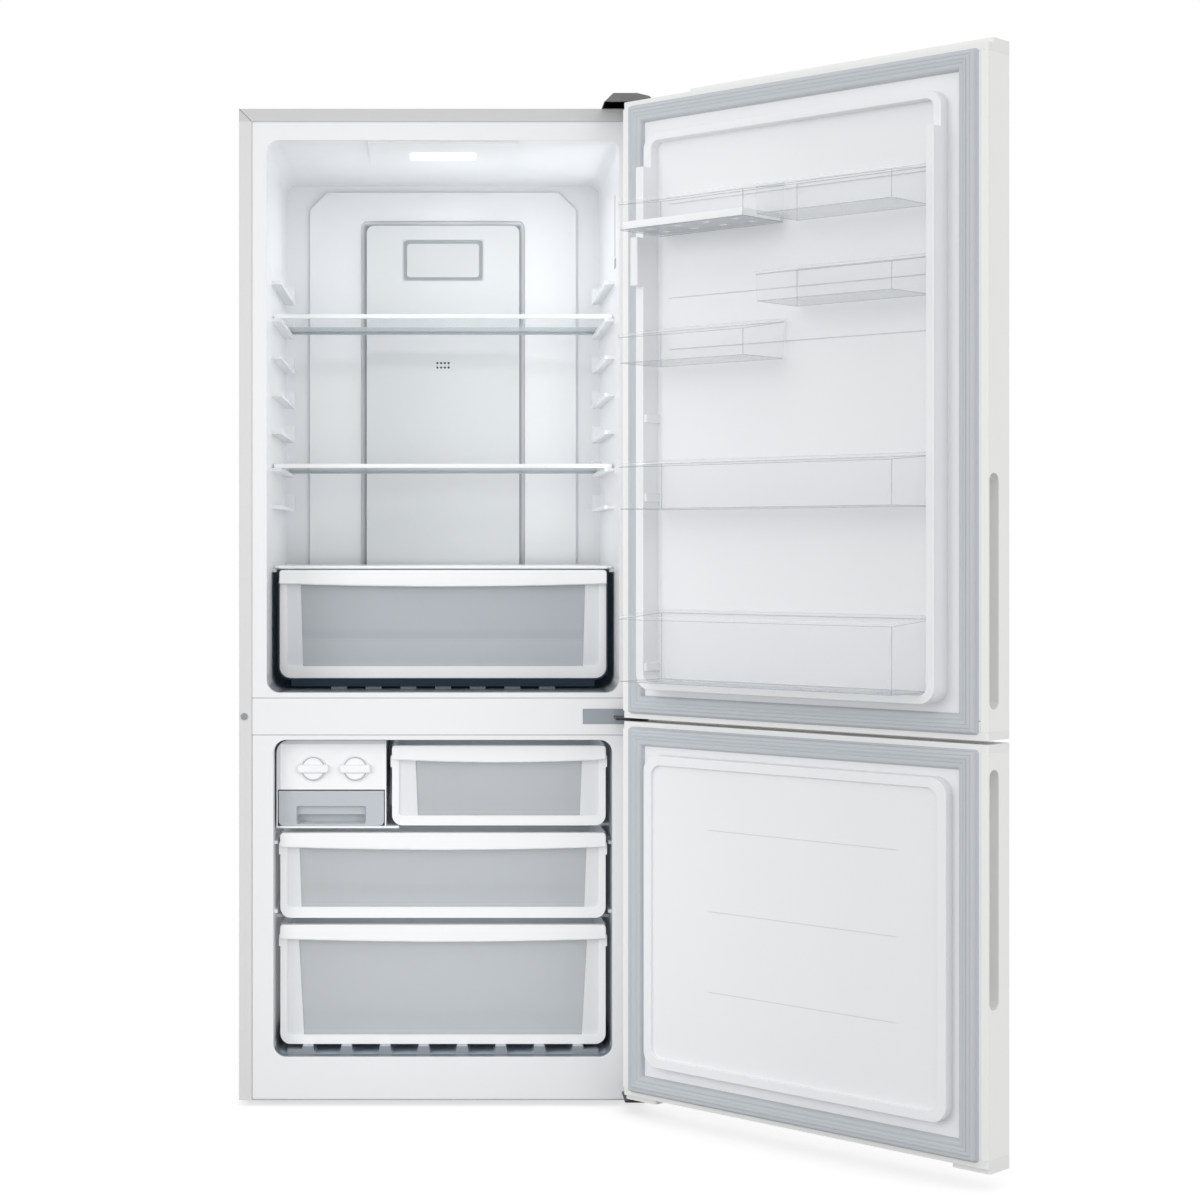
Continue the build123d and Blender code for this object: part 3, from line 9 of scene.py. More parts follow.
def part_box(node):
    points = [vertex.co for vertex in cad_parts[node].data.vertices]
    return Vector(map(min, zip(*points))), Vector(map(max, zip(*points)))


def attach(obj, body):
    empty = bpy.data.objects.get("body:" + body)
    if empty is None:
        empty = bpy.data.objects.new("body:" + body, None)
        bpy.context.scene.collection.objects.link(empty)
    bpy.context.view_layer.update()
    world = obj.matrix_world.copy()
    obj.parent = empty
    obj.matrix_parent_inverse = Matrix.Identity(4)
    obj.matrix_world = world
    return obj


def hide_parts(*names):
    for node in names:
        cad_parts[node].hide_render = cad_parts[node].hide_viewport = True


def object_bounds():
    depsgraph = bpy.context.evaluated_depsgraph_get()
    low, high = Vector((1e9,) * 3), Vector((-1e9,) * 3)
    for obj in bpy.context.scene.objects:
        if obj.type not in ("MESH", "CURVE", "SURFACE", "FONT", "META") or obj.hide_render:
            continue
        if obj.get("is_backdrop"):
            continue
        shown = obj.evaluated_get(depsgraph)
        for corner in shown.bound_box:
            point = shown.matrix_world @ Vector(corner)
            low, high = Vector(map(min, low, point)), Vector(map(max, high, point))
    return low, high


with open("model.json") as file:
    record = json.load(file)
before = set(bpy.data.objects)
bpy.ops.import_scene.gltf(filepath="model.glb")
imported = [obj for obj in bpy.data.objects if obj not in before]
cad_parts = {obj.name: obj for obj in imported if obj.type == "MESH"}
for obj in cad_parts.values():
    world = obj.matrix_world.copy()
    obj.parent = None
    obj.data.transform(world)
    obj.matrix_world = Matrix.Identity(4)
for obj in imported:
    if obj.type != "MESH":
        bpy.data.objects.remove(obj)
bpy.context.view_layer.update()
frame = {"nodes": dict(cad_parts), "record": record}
record = frame["record"]
nodes = frame["nodes"]
mm = 0.001
far = 9.0  # metres; a zone's limit this far out is no limit

# ---------------------------------------------------------------- the frame's own values
node_body = {n: body for body, members in record["behaviour"]["bodies"].items() for n in members}
node_slot = {part["node"]: part["material_slot"] for part in record["subparts"]}
door_joint = next(j for j in record["behaviour"]["joints"] if j["name"] == "upper_door_hinge")
hinge_place = Vector(door_joint["pos_m"])
door_angle = -math.radians(door_joint["range_deg"][0])
swing = (
    Matrix.Translation(hinge_place)
    @ Matrix.Rotation(door_angle, 4, "Z")
    @ Matrix.Translation(-hinge_place)
)
unswing = swing.inverted()


def closed_box(node):
    """Lowest and highest corner of a door's node with that door closed."""
    points = [unswing @ v.co for v in nodes[node].data.vertices]
    low = Vector([min(p[i] for p in points) for i in range(3)])
    high = Vector([max(p[i] for p in points) for i in range(3)])
    return low, high


# ---------------------------------------------------------------- materials
def linear(value):
    """One display value, 0 to 255, as scene-linear light."""
    share = value / 255
    if share <= 0.04045:
        return share / 12.92
    return ((share + 0.055) / 1.055) ** 2.4


def colour(red, green, blue):
    return (linear(red), linear(green), linear(blue), 1.0)


gloss_spread = 0.02
least_roughness = 0.02
gloss_patch_ratio = 9
patch_detail = 3.0
grain_detail = 2.0
grain_depth = 0.3 * mm
coat_roughness = 0.12


def noise(tree, place, scale, detail):
    """The value of a noise texture over the part's own space."""
    texture = tree.nodes.new("ShaderNodeTexNoise")
    texture.inputs["Scale"].default_value = scale
    texture.inputs["Detail"].default_value = detail
    tree.links.new(place, texture.inputs["Vector"])
    return texture.outputs["Fac"]


def plastic(
    name,
    tone,
    roughness,
    grain=0.05,
    grain_scale=700.0,
    mottle=0.004,
    patch_scale=5.0,
    coat=0.0,
    alpha=1.0,
    metallic=0.0,
    ior=1.45,
    glow=0.0,
    zones=(),
):
    """A moulded or painted surface: faint patches of tone, uneven gloss and a fine grain.

    Each zone is (lowest corner, highest corner, tone, soft edge along each axis): inside that box,
    in the part's own coordinates, the surface takes the other tone.
    """
    made = bpy.data.materials.new(name)
    made.use_nodes = True
    tree = made.node_tree
    surface = tree.nodes["Principled BSDF"]
    place = tree.nodes.new("ShaderNodeTexCoord").outputs["Object"]
    blend = tree.nodes.new("ShaderNodeMix")
    blend.data_type = "RGBA"
    red, green, blue, _ = colour(*tone)
    blend.inputs["A"].default_value = (red, green, blue, 1.0)
    dim = 1.0 - mottle
    blend.inputs["B"].default_value = (red * dim, green * dim, blue * dim, 1.0)
    gloss = tree.nodes.new("ShaderNodeMapRange")
    gloss.inputs["To Min"].default_value = max(roughness - gloss_spread, least_roughness)
    gloss.inputs["To Max"].default_value = roughness + gloss_spread
    relief = tree.nodes.new("ShaderNodeBump")
    relief.inputs["Strength"].default_value = grain
    relief.inputs["Distance"].default_value = grain_depth
    link = tree.links.new
    link(noise(tree, place, patch_scale, patch_detail), blend.inputs["Factor"])
    shade = blend.outputs["Result"]
    for low, high, zone_tone, edge in zones:
        share = box_share(tree, place, low, high, edge)
        over = tree.nodes.new("ShaderNodeMix")
        over.data_type = "RGBA"
        over.inputs["B"].default_value = colour(*zone_tone)
        link(share, over.inputs["Factor"])
        link(shade, over.inputs["A"])
        shade = over.outputs["Result"]
    link(shade, surface.inputs["Base Color"])
    uneven = noise(tree, place, patch_scale * gloss_patch_ratio, grain_detail)
    link(uneven, gloss.inputs["Value"])
    link(gloss.outputs["Result"], surface.inputs["Roughness"])
    link(noise(tree, place, grain_scale, grain_detail), relief.inputs["Height"])
    link(relief.outputs["Normal"], surface.inputs["Normal"])
    surface.inputs["Metallic"].default_value = metallic
    surface.inputs["IOR"].default_value = ior
    surface.inputs["Coat Weight"].default_value = coat
    surface.inputs["Coat Roughness"].default_value = coat_roughness
    surface.inputs["Alpha"].default_value = alpha
    if glow:
        surface.inputs["Emission Color"].default_value = colour(*tone)
        surface.inputs["Emission Strength"].default_value = glow
    return made


def box_share(tree, place, low, high, edge):
    """A factor that is 1 inside a box of the part's own space and fades to 0 over a soft edge."""
    split = tree.nodes.new("ShaderNodeSeparateXYZ")
    tree.links.new(place, split.inputs[0])
    share = None
    for axis in range(3):
        for limit, sign in ((low[axis], 1.0), (high[axis], -1.0)):
            if abs(limit) >= far:
                continue
            ramp = tree.nodes.new("ShaderNodeMapRange")
            ramp.inputs["From Min"].default_value = limit - sign * edge[axis]
            ramp.inputs["From Max"].default_value = limit + sign * edge[axis]
            tree.links.new(split.outputs[axis], ramp.inputs["Value"])
            if share is None:
                share = ramp.outputs["Result"]
                continue
            both = tree.nodes.new("ShaderNodeMath")
            both.operation = "MULTIPLY"
            tree.links.new(share, both.inputs[0])
            tree.links.new(ramp.outputs["Result"], both.inputs[1])
            share = both.outputs[0]
    return share


# ---------------------------------------------------------------- zones of another tone
mullion_low, mullion_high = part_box("mullion_cover")
ridge_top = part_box("crisper_surround")[0].z
drawer_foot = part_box("bottom_freezer_drawer")[0].z
drawer_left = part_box("bottom_freezer_drawer")[0].x
duct_low, duct_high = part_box("air_duct_cover")
plate_low, plate_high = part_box("filter_cover")
shelf_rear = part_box("lower_shelf_frame")[1].y
shelf_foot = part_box("lower_shelf_frame")[0].z
shelf_gap = 4.0 * mm
fridge_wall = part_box("upper_shelf_frame")[1].x + shelf_gap
housing_low, housing_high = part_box("ice_maker_housing")
crisp = (1 * mm, 1 * mm, 0.3 * mm)
# painted shade, for the dark behind the air slots
slot_shade_tone = (40, 45, 50)

# the painted shade and painted reflection on the floor of the fridge in front of the crisper, and the
# painted shade in its corners
floor_front = 18 * mm
floor_fade = 16 * mm
cavity_corner = 22.0 * mm
corner_start = fridge_wall - cavity_corner * 0.8
corner_top = ridge_top + 9 * mm
corner_shade_tone = (150, 156, 162)
corner_fade = (5 * mm, floor_fade, 4 * mm)
# the painted shade in the groove round the air duct, and the span of the painted shade behind its slots
groove_reach = 4 * mm
slots_half = 110 * mm
slots_behind = 4 * mm
slots_below_top = 40 * mm
# the marks on the right wall: front, rear, lower end, upper end, tone
mark_inward = 12 * mm
wall_marks = (
    (92 * mm, 114 * mm, 1.467, 1.575, (176, 181, 185)),
    (78 * mm, 118 * mm, 1.446, 1.464, (120, 126, 131)),
)
# the painted shade of the freezer's inside and its floor
freezer_front = 8 * mm
freezer_floor_front = 6 * mm
channel_front = 26 * mm
rib_foot = drawer_foot - 11.0 * mm
freezer_fade = (mm, 4 * mm, mm)
seam = 0.9 * mm
seam_depth = 6 * mm

liner_zones = (
    # painted shade and the painted reflection of the dark channel on the floor of the fridge in front of
    # the crisper, and painted shade in its two rounded corners
    (
        (-far, floor_front, mullion_high.z),
        (far, far, ridge_top + 1 * mm),
        (88, 95, 102),
        (mm, floor_fade, mm),
    ),
    ((-far, floor_front, mullion_high.z), (-corner_start, far, corner_top), corner_shade_tone, corner_fade),
    ((corner_start, floor_front, mullion_high.z), (far, far, corner_top), corner_shade_tone, corner_fade),
    # painted shade in the groove round the air duct
    (
        (duct_low.x - groove_reach, duct_low.y, -far),
        (duct_high.x + groove_reach, far, duct_high.z + groove_reach),
        (150, 157, 163),
        (3 * mm, mm, 3 * mm),
    ),
    # painted shade behind the duct's air slots
    (
        (-slots_half, duct_low.y + slots_behind, -far),
        (slots_half, far, duct_high.z - slots_below_top),
        slot_shade_tone,
        (mm, mm, mm),
    ),
    # the touch strip on the right wall and the mark below it
    *(
        ((fridge_wall - mark_inward, front, foot), (far, rear, head), tone, (mm, 3 * mm, mm))
        for front, rear, foot, head, tone in wall_marks
    ),
    # painted shade on the freezer's inside and its floor; its left wall and the channels between the
    # floor's ribs are painted lighter, as painted light against their shade
    ((-far, freezer_front, -far), (far, far, mullion_low.z), (204, 210, 215), freezer_fade),
    ((-far, freezer_front, -far), (drawer_left - mm, far, mullion_low.z), (252, 253, 254), freezer_fade),
    ((-far, freezer_floor_front, -far), (far, far, drawer_foot - 1 * mm), (140, 148, 156), freezer_fade),
    ((-far, channel_front, -far), (far, far, rib_foot), (206, 218, 230), (mm, mm, mm)),
    # seams above and below the bar between the compartments
    *(
        ((-far, -far, level - seam / 2), (far, seam_depth, level + seam / 2), (112, 117, 122), crisp)
        for level in (mullion_high.z, mullion_low.z)
    ),
)

ice_edge = 7 * mm
ice_edge_depth = 12 * mm
ice_edge_shade_tone = (216, 219, 223)
trim_depth = 12 * mm
trim_behind = 5 * mm
trim_below = 10 * mm
white_zones = (
    # painted shade along the raised edge at the top and the left of the ice maker's face
    (
        (-far, -far, housing_high.z - ice_edge),
        (housing_high.x, housing_low.y + ice_edge_depth, housing_high.z + mm),
        ice_edge_shade_tone,
        (mm, mm, 0.8 * mm),
    ),
    (
        (housing_low.x - mm, -far, housing_low.z),
        (housing_low.x + ice_edge, housing_low.y + ice_edge_depth, housing_high.z),
        ice_edge_shade_tone,
        (0.8 * mm, mm, mm),
    ),
    # painted shade over the rear trim of both shelves
    (
        (-far, shelf_rear - trim_depth, shelf_foot - trim_below),
        (far, shelf_rear + trim_behind, far),
        (186, 193, 198),
        (mm, mm, mm),
    ),
)

recess_wide = 7 * mm
recess_tall = 6 * mm
duct_slots_half = 40 * mm
duct_slots_up = 300 * mm
duct_slots_below_plate = 30 * mm
duct_zones = (
    # painted shade in the recess round the plate
    (
        (plate_low.x - recess_wide, -far, plate_low.z - recess_tall),
        (plate_high.x + recess_wide, far, plate_high.z + recess_tall),
        (178, 183, 186),
        (2.5 * mm, mm, 2.5 * mm),
    ),
    # painted shade behind the air slots
    (
        (-duct_slots_half, duct_low.y + 1 * mm, duct_low.z + duct_slots_up),
        (duct_slots_half, far, plate_low.z - duct_slots_below_plate),
        slot_shade_tone,
        (mm, 0.4 * mm, mm),
    ),
)

arm_from = -5 * mm
steel_zones = (
    # the arm stands in the dark of the gap between the doors
    ((-far, -far, -far), (far, arm_from, far), (34, 37, 42), (mm, 2 * mm, mm)),
)

floor_rib_heights = (13.0 * mm, 19.0 * mm, 26.0 * mm)
floor_rib = 0.9 * mm
drawer_pane_zones = tuple(
    # the floor's ribs, seen through the drawers' windows
    (
        (-far, -far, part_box(node)[0].z + height),
        (far, far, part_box(node)[0].z + height + floor_rib),
        (222, 226, 229),
        (mm, mm, 0.4 * mm),
    )
    for node in ("bottom_freezer_drawer", "middle_freezer_drawer", "top_freezer_drawer")
    for height in floor_rib_heights
)

crisper_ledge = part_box("crisper")[0].z + 68 * mm
ledge_highlight_top = crisper_ledge + mm
ledge_shade = crisper_ledge + 16 * mm
crisper_pane_zones = (
    # painted on the window: what is below the ledge of the crisper's rear wall, the ledge's line as a
    # painted highlight and the painted shade over it
    ((-far, -far, -far), (far, far, crisper_ledge), (227, 232, 237), (mm, mm, mm)),
    ((-far, -far, crisper_ledge), (far, far, ledge_highlight_top), (240, 244, 247), (mm, mm, 0.5 * mm)),
    ((-far, -far, ledge_highlight_top), (far, far, ledge_shade), (216, 221, 226), (mm, mm, 6 * mm)),
)

panel_lines = (0.497, 0.365, 0.234)
panel_line_start = 0.431
panel_line_end = 0.689
panel_line_half = 0.7 * mm
lower_panel_zones = tuple(
    (
        (panel_line_start, -far, level - panel_line_half),
        (panel_line_end, far, level + panel_line_half),
        (214, 216, 217),
        (4 * mm, mm, 0.4 * mm),
    )
    for level in panel_lines
)

flange_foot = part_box("fridge_liner")[1].z
paint_zones = (
    # the flange across the top takes less of the light
    ((-far, -far, flange_foot), (far, 2 * mm, far), (206, 206, 206), (mm, 0.3 * mm, 0.3 * mm)),
)

# ---------------------------------------------------------------- one look for each material slot
liner_finish = dict(tone=(240, 241, 243), roughness=0.32, grain=0.012, grain_scale=500, coat=0.15)
look_values = {
    "cabinet_paint": dict(
        tone=(221, 221, 221), roughness=0.38, grain=0.04, grain_scale=900, coat=0.2, zones=paint_zones
    ),
    "door_paint": dict(tone=(244, 244, 242), roughness=0.30, grain=0.05, grain_scale=900, coat=0.3),
    "zinc_sheet": dict(tone=(170, 172, 174), roughness=0.45, grain=0.08, grain_scale=300, metallic=0.6),
    "insulation": dict(tone=(222, 206, 160), roughness=0.9, grain=0.5, grain_scale=260, mottle=0.15),
    "liner_plastic": dict(liner_finish, zones=liner_zones),
    "duct_plastic": dict(
        tone=(222, 224, 226), roughness=0.42, grain=0.08, grain_scale=800, zones=duct_zones
    ),
    "white_plastic": dict(
        tone=(249, 250, 251), roughness=0.30, grain=0.005, grain_scale=600, coat=0.2, zones=white_zones
    ),
    "cap_plastic": dict(tone=(240, 240, 239), roughness=0.40, grain=0.06, grain_scale=800),
    "clear_plastic": dict(tone=(226, 231, 234), roughness=0.10, grain=0.01, alpha=0.07, ior=1.49),
    "smoked_plastic": dict(tone=(214, 220, 225), roughness=0.22, grain=0.02, alpha=0.92, ior=1.49),
    "tray_plastic": dict(tone=(200, 206, 212), roughness=0.35, grain=0.04),
    "shelf_pane": dict(tone=(196, 216, 212), roughness=0.04, grain=0.0, alpha=0.16, ior=1.52),
    "lamp_plastic": dict(tone=(252, 252, 252), roughness=0.3, glow=1.2),
    "seal_rubber": dict(tone=(196, 201, 206), roughness=0.55, grain=0.1, grain_scale=1100, mottle=0.02),
    # painted light: the dark plastic glows a little, though it is no lamp
    "dark_plastic": dict(tone=(28, 38, 47), roughness=0.5, grain=0.08, ior=1.2, glow=0.6),
    "hood_plastic": dict(
        tone=(122, 121, 122), roughness=0.42, grain=0.2, grain_scale=1400, mottle=0.2, patch_scale=60
    ),
    "hinge_steel": dict(
        tone=(152, 159, 166), roughness=0.40, grain=0.06, metallic=0.25, zones=steel_zones
    ),
    "plug_plastic": dict(tone=(150, 152, 156), roughness=0.4),
    "foot_plastic": dict(tone=(60, 60, 62), roughness=0.6, grain=0.2),
    "coil_aluminium": dict(tone=(214, 216, 218), roughness=0.35, metallic=1.0),
    "fan_plastic": dict(tone=(70, 72, 76), roughness=0.5, grain=0.1),
    "black_iron": dict(tone=(34, 34, 37), roughness=0.35, grain=0.15, coat=0.4),
}
looks = {slot: plastic(slot, **values) for slot, values in look_values.items()}

# looks of parts of a piece, or of one piece of a slot
pane_finish = dict(roughness=0.18, grain=0.01, alpha=0.38, ior=1.49)
plate_look = plastic("name_plate", (214, 216, 218), 0.42, grain=0.05, grain_scale=800)
lower_panel_look = plastic("lower_panel", zones=lower_panel_zones, **liner_finish)
seam_look = plastic("seam", (120, 122, 124), 0.5, grain=0.05)
ring_look = plastic("ring_groove", (176, 181, 186), 0.4, grain=0.03)
drawer_side_look = plastic("drawer_side", (232, 234, 236), 0.3, grain=0.02)
crisper_side_look = plastic("crisper_side", (228, 232, 235), 0.3, grain=0.02)
drawer_pane_look = plastic("drawer_pane", (233, 237, 240), zones=drawer_pane_zones, **pane_finish)
crisper_pane_look = plastic("crisper_pane", (222, 227, 232), zones=crisper_pane_zones, **pane_finish)
# the clear bins' painted highlight on the rim, painted shade in lines along the edges and painted shade
# on the floor
rim_highlight_look = plastic("clear_rim_highlight", (244, 246, 247), 0.15, grain=0.01, alpha=0.4, ior=1.49)
band_look = plastic("clear_band", (240, 243, 245), 0.12, grain=0.01, alpha=0.09, ior=1.49)
edge_shade_line_look = plastic("clear_edge_shade_line", (158, 166, 172), 0.2, grain=0.01, alpha=0.5, ior=1.49)
bin_floor_shade_look = plastic("clear_floor_shade", (188, 195, 200), 0.2, grain=0.01, alpha=0.42, ior=1.49)
ice_bin_look = plastic("ice_bin", (196, 202, 207), 0.3, grain=0.03, alpha=0.94, ior=1.49)

for name, node in nodes.items():
    node.data.materials.clear()
    node.data.materials.append(looks[node_slot[name]])


# ---------------------------------------------------------------- mesh helpers
def add_piece(name, mesh, body, materials, replaced=()):
    """Put a finished mesh in the scene, riding on its body."""
    piece = bpy.data.objects.new(name, mesh)
    bpy.context.scene.collection.objects.link(piece)
    for look in materials:
        mesh.materials.append(look)
    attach(piece, body)
    if replaced:
        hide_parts(*replaced)


def finish_node(node, mesh, materials):
    """Put a finished mesh in the place of a CAD node, on its body and in its material slot."""
    add_piece(node + "_finish", mesh, node_body[node], materials, [node])


def smooth(mesh, angle):
    """Round shading, with creases kept where faces meet at more than the angle."""
    mesh.shade_smooth()
    mesh.set_sharp_from_angle(angle=math.radians(angle))


def even_normals(mesh, angle=55.0):
    """Shading normals weighted by area, so flat faces stay flat beside their rounded edges."""
    mesh.shade_smooth()
    limit = math.cos(math.radians(angle))
    faces = [(poly.normal.copy(), poly.area) for poly in mesh.polygons]
    around = [[] for _ in mesh.vertices]
    for poly in mesh.polygons:
        for vertex in poly.vertices:
            around[vertex].append(poly.index)
    normals = []
    for poly in mesh.polygons:
        own = faces[poly.index][0]
        for vertex in poly.vertices:
            total = Vector()
            for index in around[vertex]:
                normal, area = faces[index]
                if normal.dot(own) > limit:
                    total += normal * area
            normals.append(total.normalized() if total.length > 0 else own)
    mesh.normals_split_custom_set(normals)


weld_distance = 0.02 * mm
flat_angle = 0.4
bevel_crease = 30.0
bevel_segments = 2


def softened(node, width, look=None):
    """A copy of a CAD node whose sharp edges are rounded, as moulded parts are."""
    work = bmesh.new()
    work.from_mesh(nodes[node].data)
    bmesh.ops.remove_doubles(work, verts=work.verts, dist=weld_distance)
    bmesh.ops.dissolve_limit(
        work,
        angle_limit=math.radians(flat_angle),
        verts=work.verts,
        edges=work.edges,
        delimit={"NORMAL"},
    )
    crease = math.radians(bevel_crease)
    edges = [e for e in work.edges if len(e.link_faces) == 2 and e.calc_face_angle(0.0) > crease]
    bmesh.ops.bevel(
        work,
        geom=edges,
        offset=width,
        segments=bevel_segments,
        profile=0.5,
        affect="EDGES",
        clamp_overlap=True,
    )
    mesh = bpy.data.meshes.new(node + "_finish")
    work.to_mesh(mesh)
    work.free()
    even_normals(mesh)
    finish_node(node, mesh, [look or looks[node_slot[node]]])


def rounded_rect(x0, x1, y0, y1, radius, steps=5):
    """Points round a rectangle with rounded corners, in order."""
    points = []
    corners = (
        (x1 - radius, y1 - radius, 0.0),
        (x0 + radius, y1 - radius, 90.0),
        (x0 + radius, y0 + radius, 180.0),
        (x1 - radius, y0 + radius, 270.0),
    )
    for cx, cy, start in corners:
        for step in range(steps + 1):
            a = math.radians(start + 90.0 * step / steps)
            points.append((cx + radius * math.cos(a), cy + radius * math.sin(a)))
    return points


def skin_rings(work, rings, close_first, close_last, loop=False, looks_of=None):
    """Quads from ring to ring; the first and last may be closed with a face.

    looks_of gives the material index of each band between two rings, then of both closing faces.
    """
    made = [[work.verts.new(p) for p in ring] for ring in rings]
    pairs = list(zip(made, made[1:]))
    if loop:
        pairs.append((made[-1], made[0]))
    for band, (low, high) in enumerate(pairs):
        for i in range(len(low)):
            j = (i + 1) % len(low)
            face = work.faces.new((low[i], low[j], high[j], high[i]))
            if looks_of:
                face.material_index = looks_of[band]
    ends = []
    if close_first:
        ends.append(work.faces.new(list(reversed(made[0]))))
    if close_last:
        ends.append(work.faces.new(made[-1]))
    if looks_of:
        for face, index in zip(ends, looks_of[len(pairs):]):
            face.material_index = index


def mesh_from(work, name, matrix=None):
    """The built mesh with its faces turned outwards, moved by the matrix."""
    bmesh.ops.recalc_face_normals(work, faces=work.faces)
    mesh = bpy.data.meshes.new(name)
    work.to_mesh(mesh)
    work.free()
    if matrix is not None:
        mesh.transform(matrix)
    return mesh


# ---------------------------------------------------------------- gaskets
gasket_profile = (
    # inset from the outer edge, height above the door's inner face, both in mm
    (0.0, 0.0),
    (0.0, 2.2),
    (1.0, 3.2),
    (2.0, 3.4),
    (2.6, 8.6),
    (3.6, 10.4),
    (5.2, 11.2),
    (8.2, 11.4),
    (8.8, 10.6),
    (9.4, 11.4),
    (14.6, 11.4),
    (15.2, 10.6),
    (15.8, 11.4),
    (18.0, 11.2),
    (20.4, 10.6),
    (21.0, 9.8),
    (21.6, 10.2),
    (26.6, 9.2),
    (28.2, 8.2),
    (29.4, 6.4),
    (30.4, 3.6),
    (31.0, 1.6),
    (31.0, 0.0),
)
gasket_corner = 5.0 * mm
gasket_least_corner = 0.6 * mm
gasket_crease = 50
moulded_crease = 40


def make_gasket(node):
    """A closed rubber profile run round the door's edge."""
    low, high = closed_box(node)
    rings = []
    for inset, height in gasket_profile:
        reach = inset * mm
        radius = max(gasket_corner - reach, gasket_least_corner)
        outline = rounded_rect(
            low.x + reach, high.x - reach, low.z + reach, high.z - reach, radius, steps=3
        )
        rings.append([(x, low.y + height * mm, z) for x, z in outline])
    work = bmesh.new()
    skin_rings(work, rings, False, False, loop=True)
    mesh = mesh_from(work, node + "_finish", swing)
    smooth(mesh, gasket_crease)
    finish_node(node, mesh, [looks["seal_rubber"]])


for node in ("upper_door_gasket", "lower_door_gasket"):
    make_gasket(node)

# ---------------------------------------------------------------- door bins
# how far each bin's rim falls from the door to its front, in mm
bin_rise = {
    "top_hinge_side_bin": 18.0,
    "top_handle_side_bin": 18.0,
    "second_bin": 18.0,
    "third_bin": 18.0,
    "wide_door_bin": 9.0,
    "bottle_door_bin": 9.0,
}
bin_wall = 2.2 * mm
bin_lip = 1.2 * mm
bin_lip_height = 5.0 * mm
bin_radius = 7.0 * mm
bin_draft = 1.5 * mm
bin_least_corner = 1 * mm
rim_round = 0.8 * mm
lip_step = 1 * mm
bin_foot_rings = ((3 * mm, 0.0), (0.8 * mm, 0.4 * mm), (0.0, 1.6 * mm))  # how far in, how high
corner_steps = 5
wall_band = 2  # the band of faces, counted from the floor, that is the wall


def make_bin(node):
    """A thin clear bin: drafted walls, a rolled rim with a painted highlight, painted shade in dark
    lines along its edges and corners, and painted shade on its floor.
    """
    low, high = closed_box(node)
    rise = bin_rise[node] * mm

    def top(y):
        share = (high.y - y) / (high.y - low.y)
        return high.z - rise + rise * share

    def ring(inset, level):
        radius = max(bin_radius - inset, bin_least_corner)
        outline = rounded_rect(
            low.x + inset, high.x - inset, low.y + inset, high.y - inset, radius, corner_steps
        )
        return [(x, y, level(y)) for x, y in outline]

    foot = bin_lip + bin_draft
    rings = [ring(foot + inset, lambda y, up=up: low.z + up) for inset, up in bin_foot_rings]
    rings += [
        ring(bin_lip, lambda y: top(y) - bin_lip_height - lip_step),
        ring(0, lambda y: top(y) - bin_lip_height),
        ring(0, lambda y: top(y) - rim_round),
        ring(rim_round, top),
        ring(bin_lip + bin_wall - rim_round, top),
    ]
    work = bmesh.new()
    # the rim takes the painted highlight, the lines take painted shade, and the base takes the painted
    # shade of the floor
    wall, rim, base, band, line = range(5)
    skin_rings(work, rings, True, False, looks_of=[base, line, wall, line, band, rim, rim, base])
    work.faces.ensure_lookup_table()
    # painted shade: a dark line down the middle of each corner
    around = len(rings[0])
    for corner in range(4):
        middle = corner * (corner_steps + 1) + corner_steps // 2
        work.faces[wall_band * around + middle].material_index = line
    mesh = mesh_from(work, node + "_finish", swing)
    smooth(mesh, moulded_crease)
    finish_node(node, mesh, [looks["clear_plastic"], rim_highlight_look, bin_floor_shade_look, band_look, edge_shade_line_look])


for node in bin_rise:
    make_bin(node)

# ---------------------------------------------------------------- drawers
drawer_wall = 2.5 * mm
drawer_draft = 6.0 * mm
drawer_front_wall = 4 * mm
strip_gap = 0.6 * mm
strip_inset = 0.5 * mm


def u_section(x0, x1, z0, z1, y_of, radius, draft, steps=6):
    """An open-topped section: down the left side, round, across and up the right side."""
    points = [(x0, z1)]
    corners = ((x0 + draft + radius, 180), (x1 - draft - radius, 270))
    for middle, start in corners:
        for step in range(steps + 1):
            a = math.radians(start + 90 * step / steps)
            points.append((middle + radius * math.cos(a), z0 + radius + radius * math.sin(a)))
    points.append((x1, z1))
    return [(x, y_of(z), z) for x, z in points]


